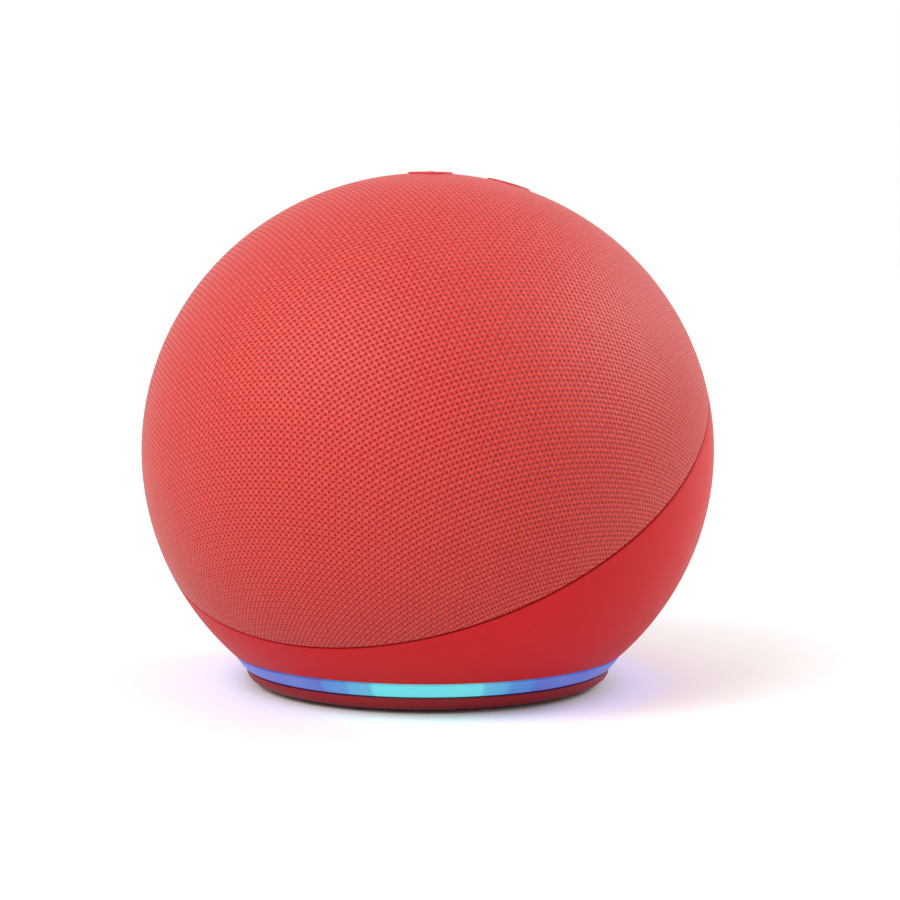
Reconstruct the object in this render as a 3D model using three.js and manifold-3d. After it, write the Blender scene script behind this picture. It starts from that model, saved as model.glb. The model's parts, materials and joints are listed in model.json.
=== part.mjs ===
// A ball-shaped smart speaker, in millimetres: +Z is up, -Y is the front, and the origin is at the
// centre of the face it stands on. A fabric-covered grille dome closes on a plastic rear shell along
// a tilted seam, over a light ring and a base. Inside are a woofer in a sealed enclosure, two
// tweeters, a module of four push buttons, and the electronics on a heat sink.
import * as THREE from "three";
import { mergeVertices } from "three/addons/utils/BufferGeometryUtils.js";
import Module from "manifold-3d";

const degrees = THREE.MathUtils.degToRad;

// ---------------------------------------------------------------- driving dimensions

// The ball.
const BODY_RADIUS = 72; // half of the widest width
const BODY_HALF_HEIGHT = 69.7; // the ball is a little flattened
const FLOOR_CIRCLE = 38.5; // radius of the circle where the ball would meet the floor
const CENTRE_HEIGHT = BODY_HALF_HEIGHT * Math.sqrt(1 - (FLOOR_CIRCLE / BODY_RADIUS) ** 2);
const BODY_SIDES = 24;

// The seam between the fabric dome and the rear shell, a plane through the ball.
const SEAM_TILT = degrees(57.4); // its normal's angle above straight ahead
const SEAM_OFFSET = -3.7; // its distance from the ball's centre along that normal
const SEAM_GAP = 0.35;

// Walls and fits.
const FABRIC_THICKNESS = 0.9;
const GRILLE_WALL = 2.6;
const SHELL_WALL = 2.4;
const SKIRT_WALL = 1.8;
const SKIRT_DEPTH = 5; // how far the grille's skirt reaches past the seam
const FIT = 0.3; // gap between fixed pieces that touch
const THIN_FIT = 0.1; // gap between flat faces that touch

// The base, from the floor upwards.
const FOOT_RADIUS = FLOOR_CIRCLE + 0.3;
const FOOT_WIDTH = 8.8;
const FOOT_HEIGHT = 1.5;
const BASE_FLOOR = 1.8;
const RING_BOTTOM = 4.55;
const RING_HEIGHT = 3.4;
const RING_GAP = 0.4; // shadow gap above and below the light ring
const RING_FLARE = 1.3; // how far its lower edge stands out from the ball
const RING_WALL = 2.6;
const FLANGE_THICKNESS = 2;
const BOARD_THICKNESS = 1.2;
const LED_COUNT = 12;
const BOSS_RADIUS = 3.5;
const BOSS_TOP = 20;

// Screws: thread radius, and the hole that each passes through.
const SCREW_RADIUS = 1;
const SCREW_HOLE = 1.3;
const SCREW_HEAD = 2.2;
const SCREW_HEAD_HEIGHT = 1.3;
const SCREW_SIDES = 5;

// The four push buttons, set behind the top of the ball.
const BUTTONS_BACK = 15.6; // centre of the four, behind the ball's axis
const BUTTON_CIRCLE = 14.4; // from that centre to each button
const BUTTON_RADIUS = 5.65;
const BUTTON_FIT = 0.3;
const BUTTON_PROUD = 0.55;
const BUTTON_TRAVEL = 0.6;
const BUTTON_FLANGE = 1.25; // how far the cap's foot stands out under the carrier
const BUTTON_SIDES = 16;
const CARRIER_RADIUS = 24;
const CARRIER_THICKNESS = 1.5;
const CARRIER_TO_BOARD = 5.2;
const BUTTON_SCREW_CIRCLE = 20;
const MIC_CIRCLE = 10;
const MIC_PORT = 0.8;
const SWITCH_SIZE = 5.2;
const SWITCH_HEIGHT = 2;
const PLUNGER_RADIUS = 1.4;

// The woofer, on its own axis.
const WOOFER_ELEVATION = degrees(20); // it fires forwards and a little up
const WOOFER_STANDOFF = 5; // from its flange to the grille
const WOOFER_RADIUS = 39.5;
const WOOFER_FLANGE = 1.5;
const WOOFER_OPENING = WOOFER_RADIUS - 6.5; // inside radius of the flange
const CONE_RADIUS = WOOFER_OPENING - 5;
const CONE_TRAVEL = 3;
const COIL_RADIUS = 9;
const COIL_WALL = 0.5;
const COIL_GAP = 0.5;
const MAGNET_RADIUS = 19;
const WOOFER_SIDES = 20;
const SOUND_HOLE = 3.2;

// The sealed box behind the woofer.
const ENCLOSURE_RADIUS = WOOFER_RADIUS + 2.5;
const ENCLOSURE_WALL = 2.5;
const BUTTON_CLEARANCE = 2; // least gap from the enclosure to the button board

// The tweeters, one to each side.
const TWEETER_AZIMUTH = degrees(76); // from straight ahead
const TWEETER_ELEVATION = degrees(5);
const TWEETER_RADIUS = 15.5;
const TWEETER_STANDOFF = 3;
const TWEETER_DOME = 10;
const TWEETER_SIDES = 12;

// The electronics, on a heat sink behind the enclosure.
const MAIN_BOARD_WIDTH = 80;
const MAIN_BOARD_HEIGHT = 62;
const MAIN_BOARD_THICKNESS = 1.6;
const BOARD_CLEARANCE = 4.5; // from the board's front face to the enclosure
const FRAME_SCREW_X = ENCLOSURE_RADIUS - 12;
const SINK_SETBACK = 30.5; // the heat sink's front face, behind the ball's axis
const SHIELD_HEIGHT = 2.1;
const PAD_THICKNESS = 0.9;
const SINK_PLATE = 3;
const SINK_FIN_REACH = 14;
const SINK_FIN = 2;
const SINK_FIN_COUNT = 7;
const SINK_FIN_STEP = (2 * (FRAME_SCREW_X - 6)) / (SINK_FIN_COUNT - 1);

// The two sockets at the back.
const JACK_HEIGHT = 19.5;
const JACK_X = 11; // each side of the middle
const PLUG_RECESS = 8.4;
const POWER_RECESS_RADIUS = 5.5;
const AUDIO_RECESS_RADIUS = 4.2;
const RECESS_WALL = 1.8;
const POWER_BORE = 3.1;
const POWER_PIN = 1;
const AUDIO_BORE = 1.8;
const RIBBON = 0.3;

// ---------------------------------------------------------------- derived places

const seamNormal = new THREE.Vector3(0, -Math.cos(SEAM_TILT), Math.sin(SEAM_TILT));
const centre = new THREE.Vector3(0, 0, CENTRE_HEIGHT);
const grilleOuter = FABRIC_THICKNESS + FIT; // insets from the ball's own surface
const grilleInner = grilleOuter + GRILLE_WALL;
const innerRadius = Math.min(BODY_RADIUS, BODY_HALF_HEIGHT) - grilleInner;

// The ball's horizontal radius at a height, and its height at a radius, for an inset surface.
function radiusAt(z, inset = 0) {
  const share = (z - CENTRE_HEIGHT) / (BODY_HALF_HEIGHT - inset);
  return (BODY_RADIUS - inset) * Math.sqrt(1 - share * share);
}

function heightAt(radius, inset = 0) {
  const share = radius / (BODY_RADIUS - inset);
  return CENTRE_HEIGHT + (BODY_HALF_HEIGHT - inset) * Math.sqrt(1 - share * share);
}

const shellBottom = RING_BOTTOM + RING_HEIGHT + RING_GAP;
const baseTop = RING_BOTTOM - RING_GAP;
const baseFloorTop = FOOT_HEIGHT + THIN_FIT + BASE_FLOOR;
const ledBoardTop = shellBottom - 0.85;
const ledBoardBottom = ledBoardTop - BOARD_THICKNESS;
const screwCircle = FOOT_RADIUS - FOOT_WIDTH / 2;
const ringInner = radiusAt(RING_BOTTOM) - RING_WALL - 0.5;
const flangeInner = FOOT_RADIUS - FOOT_WIDTH;

// Frames: the button module, the woofer and the tweeters each have an axis of their own.
const buttonPlace = new THREE.Vector3(0, BUTTONS_BACK, heightAt(BUTTONS_BACK));
const buttonTilt = Math.atan2(
  BUTTONS_BACK / BODY_RADIUS ** 2,
  (buttonPlace.z - CENTRE_HEIGHT) / BODY_HALF_HEIGHT ** 2,
);
const buttonModule = new THREE.Group();
buttonModule.position.copy(buttonPlace);
buttonModule.rotation.x = -buttonTilt;

const wooferModule = new THREE.Group();
wooferModule.position.copy(centre);
wooferModule.rotation.x = Math.PI / 2 - WOOFER_ELEVATION;

function tweeterFrame(side) {
  const flat = Math.cos(TWEETER_ELEVATION);
  const way = new THREE.Vector3(
    side * Math.sin(TWEETER_AZIMUTH) * flat,
    -Math.cos(TWEETER_AZIMUTH) * flat,
    Math.sin(TWEETER_ELEVATION),
  );
  const frame = new THREE.Group();
  frame.position.copy(centre);
  frame.quaternion.setFromUnitVectors(new THREE.Vector3(0, 0, 1), way);
  return frame;
}

const tweeterSides = { left: tweeterFrame(-1), right: tweeterFrame(1) };
const speaker = new THREE.Group();
speaker.add(buttonModule, wooferModule, ...Object.values(tweeterSides));
speaker.updateMatrixWorld(true);

// Heights along the button module's axis, from the ball's surface inwards.
const facetSag = BODY_RADIUS * (1 - Math.cos(Math.PI / BODY_SIDES));
const carrierDrop = innerRadius - Math.sqrt(innerRadius ** 2 - CARRIER_RADIUS ** 2);
const carrierTop = -(grilleInner + carrierDrop + facetSag + FIT);
const carrierBottom = carrierTop - CARRIER_THICKNESS;
const buttonBoardTop = carrierBottom - CARRIER_TO_BOARD;
const buttonBoardBottom = buttonBoardTop - BOARD_THICKNESS;
const capFootTop = carrierBottom - FIT;
const capFootBottom = capFootTop - 1;
const switchTop = buttonBoardTop + SWITCH_HEIGHT;
const plungerTop = switchTop + BUTTON_TRAVEL + 0.05;
const buttonAngles = { volume_up: 0, microphone_off: 90, volume_down: 180, action: 270 };

// Places along the woofer's axis, from the ball's centre outwards.
const flangeFront = Math.sqrt(innerRadius ** 2 - WOOFER_RADIUS ** 2) - WOOFER_STANDOFF;
const flangeBack = flangeFront - WOOFER_FLANGE;
const lipFront = flangeBack - 0.7 - 2 * FIT;
const basketFloor = flangeBack - 18.8;
const topPlateBack = basketFloor - THIN_FIT - 2.8;
const magnetBack = topPlateBack - THIN_FIT - 8.3;
const yokeBack = magnetBack - THIN_FIT - 3.3;
const wooferScrewCircle = WOOFER_RADIUS - 2;
const surroundOuter = wooferScrewCircle - SCREW_HEAD - FIT;
const coneNeck = basketFloor + CONE_TRAVEL + 2.2;
const coneEdge = flangeBack - 1.8;

// Places along a tweeter's axis.
const tweeterFace = Math.sqrt(innerRadius ** 2 - TWEETER_RADIUS ** 2) - TWEETER_STANDOFF;
const tweeterFlange = 1.7;
const podFront = tweeterFace - tweeterFlange - THIN_FIT;

// The electronics stack forwards from the heat sink, and the enclosure fills the room in front.
const sinkFront = SINK_SETBACK;
const sinkBack = sinkFront + SINK_PLATE;
const boardBack = sinkFront - SHIELD_HEIGHT - PAD_THICKNESS - 3 * THIN_FIT;
const boardFront = boardBack - MAIN_BOARD_THICKNESS;
const enclosureRear = boardFront - BOARD_CLEARANCE;
const enclosureBack =
  (ENCLOSURE_RADIUS * Math.sin(WOOFER_ELEVATION) - enclosureRear) / Math.cos(WOOFER_ELEVATION);
const boardBottomZ = CENTRE_HEIGHT - MAIN_BOARD_HEIGHT / 2 + 2;
const frameScrewZ = [CENTRE_HEIGHT - 19, CENTRE_HEIGHT + 17];

const jackFace = radiusAt(JACK_HEIGHT) - PLUG_RECESS;
const jackBoardTop = shellBottom + FLANGE_THICKNESS + 2.6;

// ---------------------------------------------------------------- shapes

const wasm = await Module();
wasm.setup();

const WELD = 1e-4;

// A closed three.js geometry as a manifold-3d solid with its faces pointing out.
function solid(shape) {
  if (!shape.isBufferGeometry) return shape;
  const bare = new THREE.BufferGeometry();
  bare.setAttribute("position", shape.getAttribute("position"));
  bare.setIndex(shape.index);
  const merged = mergeVertices(bare, WELD);
  const points = new Float32Array(merged.attributes.position.array);
  const corners = [];
  for (let i = 0; i < merged.index.count; i += 3) {
    const [a, b, c] = merged.index.array.slice(i, i + 3);
    if (a !== b && b !== c && c !== a) corners.push([a, b, c]);
  }
  const build = (faces) =>
    new wasm.Manifold(
      new wasm.Mesh({
        numProp: 3,
        vertProperties: points,
        triVerts: new Uint32Array(faces.flat()),
      }),
    );
  const made = build(corners);
  return made.volume() > 0 ? made : build(corners.map(([a, b, c]) => [a, c, b]));
}

const join = (...shapes) => shapes.map(solid).reduce((a, b) => a.add(b));
const cut = (shape, ...tools) => tools.map(solid).reduce((a, b) => a.subtract(b), solid(shape));
const common = (...shapes) => shapes.map(solid).reduce((a, b) => a.intersect(b));

// A surface of revolution about Z through [radius, height] points, closed on itself.
function lathe(profile, sides) {
  const points = profile.map(([r, z]) => new THREE.Vector2(r, z));
  if (profile[0][0] > 0) points.push(points[0].clone());
  return new THREE.LatheGeometry(points, sides).rotateX(Math.PI / 2);
}

function cylinder(radius, bottom, top, sides, x = 0, y = 0) {
  return new THREE.CylinderGeometry(radius, radius, top - bottom, sides)
    .rotateX(Math.PI / 2)
    .translate(x, y, (bottom + top) / 2);
}

// A cylinder along Y, for the sockets, the posts and the screws at the back.
function cylinderY(radius, front, back, sides, x, z) {
  return new THREE.CylinderGeometry(radius, radius, back - front, sides).translate(
    x,
    (front + back) / 2,
    z,
  );
}

function box(low, high) {
  const size = high.map((v, i) => v - low[i]);
  const middle = high.map((v, i) => (v + low[i]) / 2);
  return new THREE.BoxGeometry(...size).translate(...middle);
}

// The ball, inset by a distance all round.
function ball(inset, sides = BODY_SIDES) {
  return new THREE.SphereGeometry(1, sides, sides / 2)
    .rotateX(Math.PI / 2)
    .scale(BODY_RADIUS - inset, BODY_RADIUS - inset, BODY_HALF_HEIGHT - inset)
    .translate(0, 0, CENTRE_HEIGHT);
}

// A slab with faces parallel to the seam, between two distances from it along its normal.
function seamSlab(low, high) {
  const reach = 4 * Math.max(BODY_RADIUS, BODY_HALF_HEIGHT);
  const turn = new THREE.Quaternion().setFromUnitVectors(new THREE.Vector3(0, 0, 1), seamNormal);
  const middle = SEAM_OFFSET + (low + high) / 2;
  return new THREE.BoxGeometry(reach, reach, high - low)
    .applyQuaternion(turn)
    .translate(0, seamNormal.y * middle, CENTRE_HEIGHT + seamNormal.z * middle);
}

const farSide = 3 * Math.max(BODY_RADIUS, BODY_HALF_HEIGHT);
const aboveSeam = (from) => seamSlab(from, farSide);
const belowSeam = (to) => seamSlab(-farSide, to);
const placed = (shape, frame) => shape.clone().applyMatrix4(frame.matrixWorld);
const inFrame = (shape, frame) => shape.clone().applyMatrix4(frame.matrixWorld.clone().invert());

// Points evenly round a circle about Z, starting at an angle.
function around(count, radius, start = 0) {
  return Array.from({ length: count }, (_, i) => {
    const angle = degrees(start + (360 * i) / count);
    return [radius * Math.cos(angle), radius * Math.sin(angle)];
  });
}

// A screw standing on Z with its head at the bottom.
function screw(headBottom, tip, x = 0, y = 0) {
  const headTop = headBottom + SCREW_HEAD_HEIGHT;
  return join(
    cylinder(SCREW_HEAD, headBottom, headTop, SCREW_SIDES, x, y),
    cylinder(SCREW_RADIUS, headTop - 0.5, tip, SCREW_SIDES, x, y),
  );
}

// A flat ribbon cable: a band that follows [y, z] points, with its width along X.
function ribbon(route, width) {
  const curve = new THREE.SplineCurve(route.map(([y, z]) => new THREE.Vector2(y, z)));
  const steps = 14;
  const sides = [[], []];
  for (let i = 0; i <= steps; i++) {
    const point = curve.getPoint(i / steps);
    const way = curve.getTangent(i / steps);
    const across = new THREE.Vector2(-way.y, way.x).multiplyScalar(RIBBON / 2);
    sides[0].push(point.clone().add(across));
    sides[1].unshift(point.clone().sub(across));
  }
  const band = new THREE.Shape([...sides[0], ...sides[1]]);
  const toYZX = new THREE.Matrix4().set(0, 0, 1, 0, 1, 0, 0, 0, 0, 1, 0, 0, 0, 0, 0, 1);
  return new THREE.ExtrudeGeometry(band, { depth: width, bevelEnabled: false })
    .translate(0, 0, -width / 2)
    .applyMatrix4(toYZX);
}

// ---------------------------------------------------------------- materials

const paint = (color, roughness, metalness = 0) =>
  new THREE.MeshStandardMaterial({ color, roughness, metalness });

const fabric = paint(0xc93a36, 0.95);
const redPlastic = paint(0xb4262a, 0.5);
const buttonPlastic = paint(0x9c2a2e, 0.55);
const redRubber = paint(0x6a1a1e, 0.8);
const blackPlastic = paint(0x1b1b1d, 0.6);
const lightGuide = paint(0x9fd8ee, 0.35);
const foam = paint(0x26262a, 0.95);
const circuitBoard = paint(0x123d2c, 0.5);
const zincSteel = paint(0xb9bcc0, 0.35, 0.9);
const aluminium = paint(0xa7a9ad, 0.45, 0.9);
const ferrite = paint(0x2c2c30, 0.7);
const paperCone = paint(0x232326, 0.85);
const butylRubber = paint(0x161618, 0.7);
const copper = paint(0xb4703a, 0.4, 0.8);
const spiderCloth = paint(0xc9a24a, 0.9);
const silk = paint(0x2a2a30, 0.6);
const ribbonFilm = paint(0xd08a2a, 0.5);
const thermalPad = paint(0x8fa3b8, 0.8);

function node(name, shape, material, parent = speaker) {
  const { vertProperties, triVerts } = solid(shape).getMesh();
  const geometry = new THREE.BufferGeometry();
  geometry.setAttribute("position", new THREE.BufferAttribute(vertProperties, 3));
  geometry.setIndex(new THREE.BufferAttribute(triVerts, 1));
  geometry.computeVertexNormals();
  const mesh = new THREE.Mesh(geometry, material);
  mesh.name = name;
  parent.add(mesh);
}

// ---------------------------------------------------------------- the outside

// Round holes through the top of the ball for the four buttons, along the module's axis.
function buttonHoles(radius) {
  return Object.values(buttonAngles).map((angle) => {
    const [[x, y]] = around(1, BUTTON_CIRCLE, angle);
    return placed(cylinder(radius, -20, 10, BUTTON_SIDES, x, y), buttonModule);
  });
}

function fabricCover() {
  const skin = cut(ball(0), ball(FABRIC_THICKNESS));
  const dome = common(skin, aboveSeam(SEAM_GAP / 2));
  return cut(dome, ...buttonHoles(BUTTON_RADIUS + BUTTON_FIT));
}

// Rings of sound holes about an axis that passes through the ball's centre.
function soundHoles(frame, rings) {
  const holes = [];
  for (const [tilt, count] of rings) {
    for (let i = 0; i < count; i++) {
      const hole = cylinder(SOUND_HOLE, innerRadius - 10, BODY_RADIUS + 10, 6)
        .rotateY(degrees(tilt))
        .rotateZ((2 * Math.PI * i) / count);
      holes.push(placed(hole, frame));
    }
  }
  return holes;
}

// The dome behind the fabric, with a skirt that laps inside the rear shell.
function grilleDome() {
  const wall = common(cut(ball(grilleOuter), ball(grilleInner)), aboveSeam(SEAM_GAP / 2 + 0.05));
  const skirtOuter = SHELL_WALL + FIT + 0.1;
  const skirt = common(
    cut(ball(skirtOuter), ball(skirtOuter + SKIRT_WALL)),
    seamSlab(-SKIRT_DEPTH, 3),
  );
  const posts = around(4, BUTTON_SCREW_CIRCLE, 45).map(([x, y]) =>
    common(
      placed(cylinder(2.6, carrierTop + THIN_FIT, 0, 12, x, y), buttonModule),
      ball(grilleOuter + 0.6),
    ),
  );
  const screwHoles = around(4, BUTTON_SCREW_CIRCLE, 45).map(([x, y]) => {
    const top = -grilleOuter - 1.7 - BUTTON_SCREW_CIRCLE ** 2 / (2 * BODY_HALF_HEIGHT);
    return placed(cylinder(SCREW_HOLE, -30, top, SCREW_SIDES, x, y), buttonModule);
  });
  const micPorts = around(4, MIC_CIRCLE, 45).map(([x, y]) =>
    placed(cylinder(MIC_PORT, -20, 10, 6, x, y), buttonModule),
  );
  const wooferHoles = soundHoles(wooferModule, [
    [0, 1],
    [11, 6],
    [22, 12],
  ]);
  const tweeterHoles = Object.values(tweeterSides).flatMap((frame) =>
    soundHoles(frame, [
      [0, 1],
      [9, 5],
    ]),
  );
  return cut(
    join(wall, skirt, ...posts),
    ...buttonHoles(BUTTON_RADIUS + BUTTON_FIT + 0.1),
    ...screwHoles,
    ...micPorts,
    ...wooferHoles,
    ...tweeterHoles,
  );
}

// The rebate inside the rear shell's edge, and the foam ring that lies in it.
const rebateWidth = grilleOuter + 0.1;
const REBATE_DEPTH = 1.2;

function seamGasket() {
  const band = cut(ball(rebateWidth + FIT), ball(SHELL_WALL - FIT / 2));
  return common(band, seamSlab(THIN_FIT - REBATE_DEPTH, -SEAM_GAP / 2));
}

// A tube inside the rear wall that leads a plug to its socket.
const sockets = [
  { x: -JACK_X, recess: POWER_RECESS_RADIUS },
  { x: JACK_X, recess: AUDIO_RECESS_RADIUS },
];

const bosses = around(4, screwCircle, 45);
const stakes = [jackFace - 17, jackFace - 6].map((y) => [0.6, y]);

function rearShell() {
  const wall = cut(ball(0), ball(SHELL_WALL));
  const shell = cut(
    common(wall, belowSeam(-SEAM_GAP / 2)),
    common(ball(rebateWidth), aboveSeam(-REBATE_DEPTH)),
    box([-farSide, -farSide, -farSide], [farSide, farSide, shellBottom]),
  );
  const flangeTop = shellBottom + FLANGE_THICKNESS;
  const outer = radiusAt(shellBottom) - 1;
  const flange = common(
    lathe(
      [
        [flangeInner, shellBottom],
        [outer, shellBottom],
        [outer, flangeTop],
        [flangeInner, flangeTop],
      ],
      BODY_SIDES,
    ),
    ball(0),
  );
  const posts = bosses.map(([x, y]) =>
    cylinder(BOSS_RADIUS, ledBoardTop + THIN_FIT, BOSS_TOP, 12, x, y),
  );
  const boardStakes = stakes.map(([x, y]) =>
    join(
      cylinder(2.4, shellBottom + 0.5, jackBoardTop - BOARD_THICKNESS - THIN_FIT, 10, x, y),
      cylinder(1.2, shellBottom + 0.5, jackBoardTop + 0.8, 8, x, y),
    ),
  );
  const tubes = sockets.map(({ x, recess }) =>
    common(
      cylinderY(recess + RECESS_WALL, jackFace - 1, BODY_RADIUS, 20, x, JACK_HEIGHT),
      ball(0.2),
    ),
  );
  const bores = sockets.map(({ x, recess }) =>
    cylinderY(recess, jackFace - 10, BODY_RADIUS + 10, 20, x, JACK_HEIGHT),
  );
  const screwHoles = bosses.map(([x, y]) =>
    cylinder(SCREW_HOLE, 0, BOSS_TOP - 2, SCREW_SIDES, x, y),
  );
  return cut(join(shell, flange, ...posts, ...boardStakes, ...tubes), ...bores, ...screwHoles);
}

// ---------------------------------------------------------------- the base

// The light guide: its face carries on the ball's curve, and a lip faces the LEDs.
function lightRing() {
  const top = RING_BOTTOM + RING_HEIGHT;
  const lowerFace = radiusAt(RING_BOTTOM) + RING_FLARE;
  return lathe(
    [
      [lowerFace, RING_BOTTOM],
      [radiusAt(RING_BOTTOM + RING_HEIGHT / 2) + 0.55 * RING_FLARE, RING_BOTTOM + RING_HEIGHT / 2],
      [radiusAt(top), top],
      [ringInner, top],
      [ringInner, RING_BOTTOM + 0.6],
      [ringInner + 1.2, RING_BOTTOM],
    ],
    BODY_SIDES,
  );
}

function baseCover() {
  const rim = radiusAt(RING_BOTTOM) + RING_FLARE - 0.4;
  const wallInner = ringInner + 0.6;
  const footTop = FOOT_HEIGHT + THIN_FIT;
  const bowl = lathe(
    [
      [0, 0.9],
      [FOOT_RADIUS - FOOT_WIDTH - FIT, 0.9],
      [FOOT_RADIUS - FOOT_WIDTH - FIT, footTop],
      [FOOT_RADIUS + FIT, footTop],
      [FOOT_RADIUS + FIT, 0.5],
      [FOOT_RADIUS + 1, 0.5],
      [(FOOT_RADIUS + 1 + rim) / 2 + 0.9, (0.5 + baseTop) / 2 - 0.4],
      [rim, baseTop - 0.5],
      [rim, baseTop],
      [wallInner, baseTop],
      [wallInner - 1, baseFloorTop],
      [0, baseFloorTop],
    ],
    BODY_SIDES,
  );
  const posts = bosses.map(([x, y]) =>
    cylinder(BOSS_RADIUS - 0.5, baseFloorTop - 1, ledBoardBottom - THIN_FIT, 12, x, y),
  );
  const screwHoles = bosses.map(([x, y]) =>
    join(
      cylinder(SCREW_HOLE, 0, 10, SCREW_SIDES, x, y),
      cylinder(SCREW_HEAD + FIT, 0, footTop + SCREW_HEAD_HEIGHT + FIT, 12, x, y),
    ),
  );
  return cut(join(bowl, ...posts), ...screwHoles);
}

function footRing() {
  const inner = FOOT_RADIUS - FOOT_WIDTH;
  return lathe(
    [
      [inner, 0],
      [FOOT_RADIUS, 0],
      [FOOT_RADIUS, FOOT_HEIGHT],
      [inner, FOOT_HEIGHT],
    ],
    BODY_SIDES,
  );
}

// A ring of side-firing LEDs on the underside of a ring-shaped board.
function ledBoard() {
  const outer = ringInner - 0.7;
  const inner = flangeInner - 1;
  const ring = lathe(
    [
      [inner, ledBoardBottom],
      [outer, ledBoardBottom],
      [outer, ledBoardTop],
      [inner, ledBoardTop],
    ],
    BODY_SIDES,
  );
  const leds = around(LED_COUNT, 1, 15).map((_, i) =>
    box([outer - 2.2, -1.6, ledBoardBottom - 1.1], [outer + 0.2, 1.6, ledBoardBottom + 0.4]).rotateZ(
      degrees(15 + (360 * i) / LED_COUNT),
    ),
  );
  const holes = bosses.map(([x, y]) => cylinder(SCREW_HOLE + 0.2, 0, 12, SCREW_SIDES, x, y));
  return cut(join(ring, ...leds), ...holes);
}

// ---------------------------------------------------------------- the buttons

// A cap: its top stands just proud of the ball, and its foot is held under the carrier.
function buttonCap([x, y]) {
  const top = common(
    cylinder(BUTTON_RADIUS, capFootBottom, 10, BUTTON_SIDES, x, y),
    inFrame(ball(-BUTTON_PROUD), buttonModule),
  );
  return join(
    top,
    cylinder(BUTTON_RADIUS + BUTTON_FLANGE, capFootBottom, capFootTop, BUTTON_SIDES, x, y),
    cylinder(PLUNGER_RADIUS + 0.2, plungerTop + 0.05, capFootBottom + 0.3, 12, x, y),
  );
}

function buttonCarrier() {
  const spacers = around(4, BUTTON_SCREW_CIRCLE, 45).map(([x, y]) =>
    cylinder(2.5, buttonBoardTop + THIN_FIT, carrierBottom + 0.5, 8, x, y),
  );
  const chimneys = around(4, MIC_CIRCLE, 45).map(([x, y]) =>
    cylinder(1.9, buttonBoardTop + 1.4, carrierBottom + 0.5, 8, x, y),
  );
  const capHoles = around(4, BUTTON_CIRCLE).map(([x, y]) =>
    cylinder(BUTTON_RADIUS + BUTTON_FIT, -20, 0, BUTTON_SIDES, x, y),
  );
  const screwHoles = around(4, BUTTON_SCREW_CIRCLE, 45).map(([x, y]) =>
    cylinder(SCREW_HOLE, -20, 0, SCREW_SIDES, x, y),
  );
  const ports = around(4, MIC_CIRCLE, 45).map(([x, y]) => cylinder(MIC_PORT, -20, 0, 6, x, y));
  const plate = cylinder(CARRIER_RADIUS, carrierBottom, carrierTop, 24);
  return cut(join(plate, ...spacers, ...chimneys), ...capHoles, ...screwHoles, ...ports);
}

// The top board with its four switches, four microphones and a ribbon socket.
function buttonBoard() {
  const board = cylinder(CARRIER_RADIUS - 1, buttonBoardBottom, buttonBoardTop, 24);
  const half = SWITCH_SIZE / 2;
  const switches = around(4, BUTTON_CIRCLE).map(([x, y]) =>
    cut(
      box([x - half, y - half, buttonBoardTop - 0.2], [x + half, y + half, switchTop]),
      cylinder(PLUNGER_RADIUS + FIT, buttonBoardTop + 0.3, 0, 12, x, y),
    ),
  );
  const microphones = around(4, MIC_CIRCLE, 45).map(([x, y]) =>
    box([x - 1.7, y - 1.3, buttonBoardTop - 0.2], [x + 1.7, y + 1.3, buttonBoardTop + 1.1]),
  );
  const socket = box([-6, 8, buttonBoardBottom - 1], [6, 12, buttonBoardBottom + 0.2]);
  const screwHoles = around(4, BUTTON_SCREW_CIRCLE, 45).map(([x, y]) =>
    cylinder(SCREW_HOLE, -40, 0, SCREW_SIDES, x, y),
  );
  return cut(join(board, ...switches, ...microphones, socket), ...screwHoles);
}

function buttonScrew([x, y]) {
  const top = -grilleOuter - 2.2 - BUTTON_SCREW_CIRCLE ** 2 / (2 * BODY_HALF_HEIGHT);
  return screw(buttonBoardBottom - THIN_FIT - SCREW_HEAD_HEIGHT, top, x, y);
}

// ---------------------------------------------------------------- the enclosure and drivers

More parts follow.
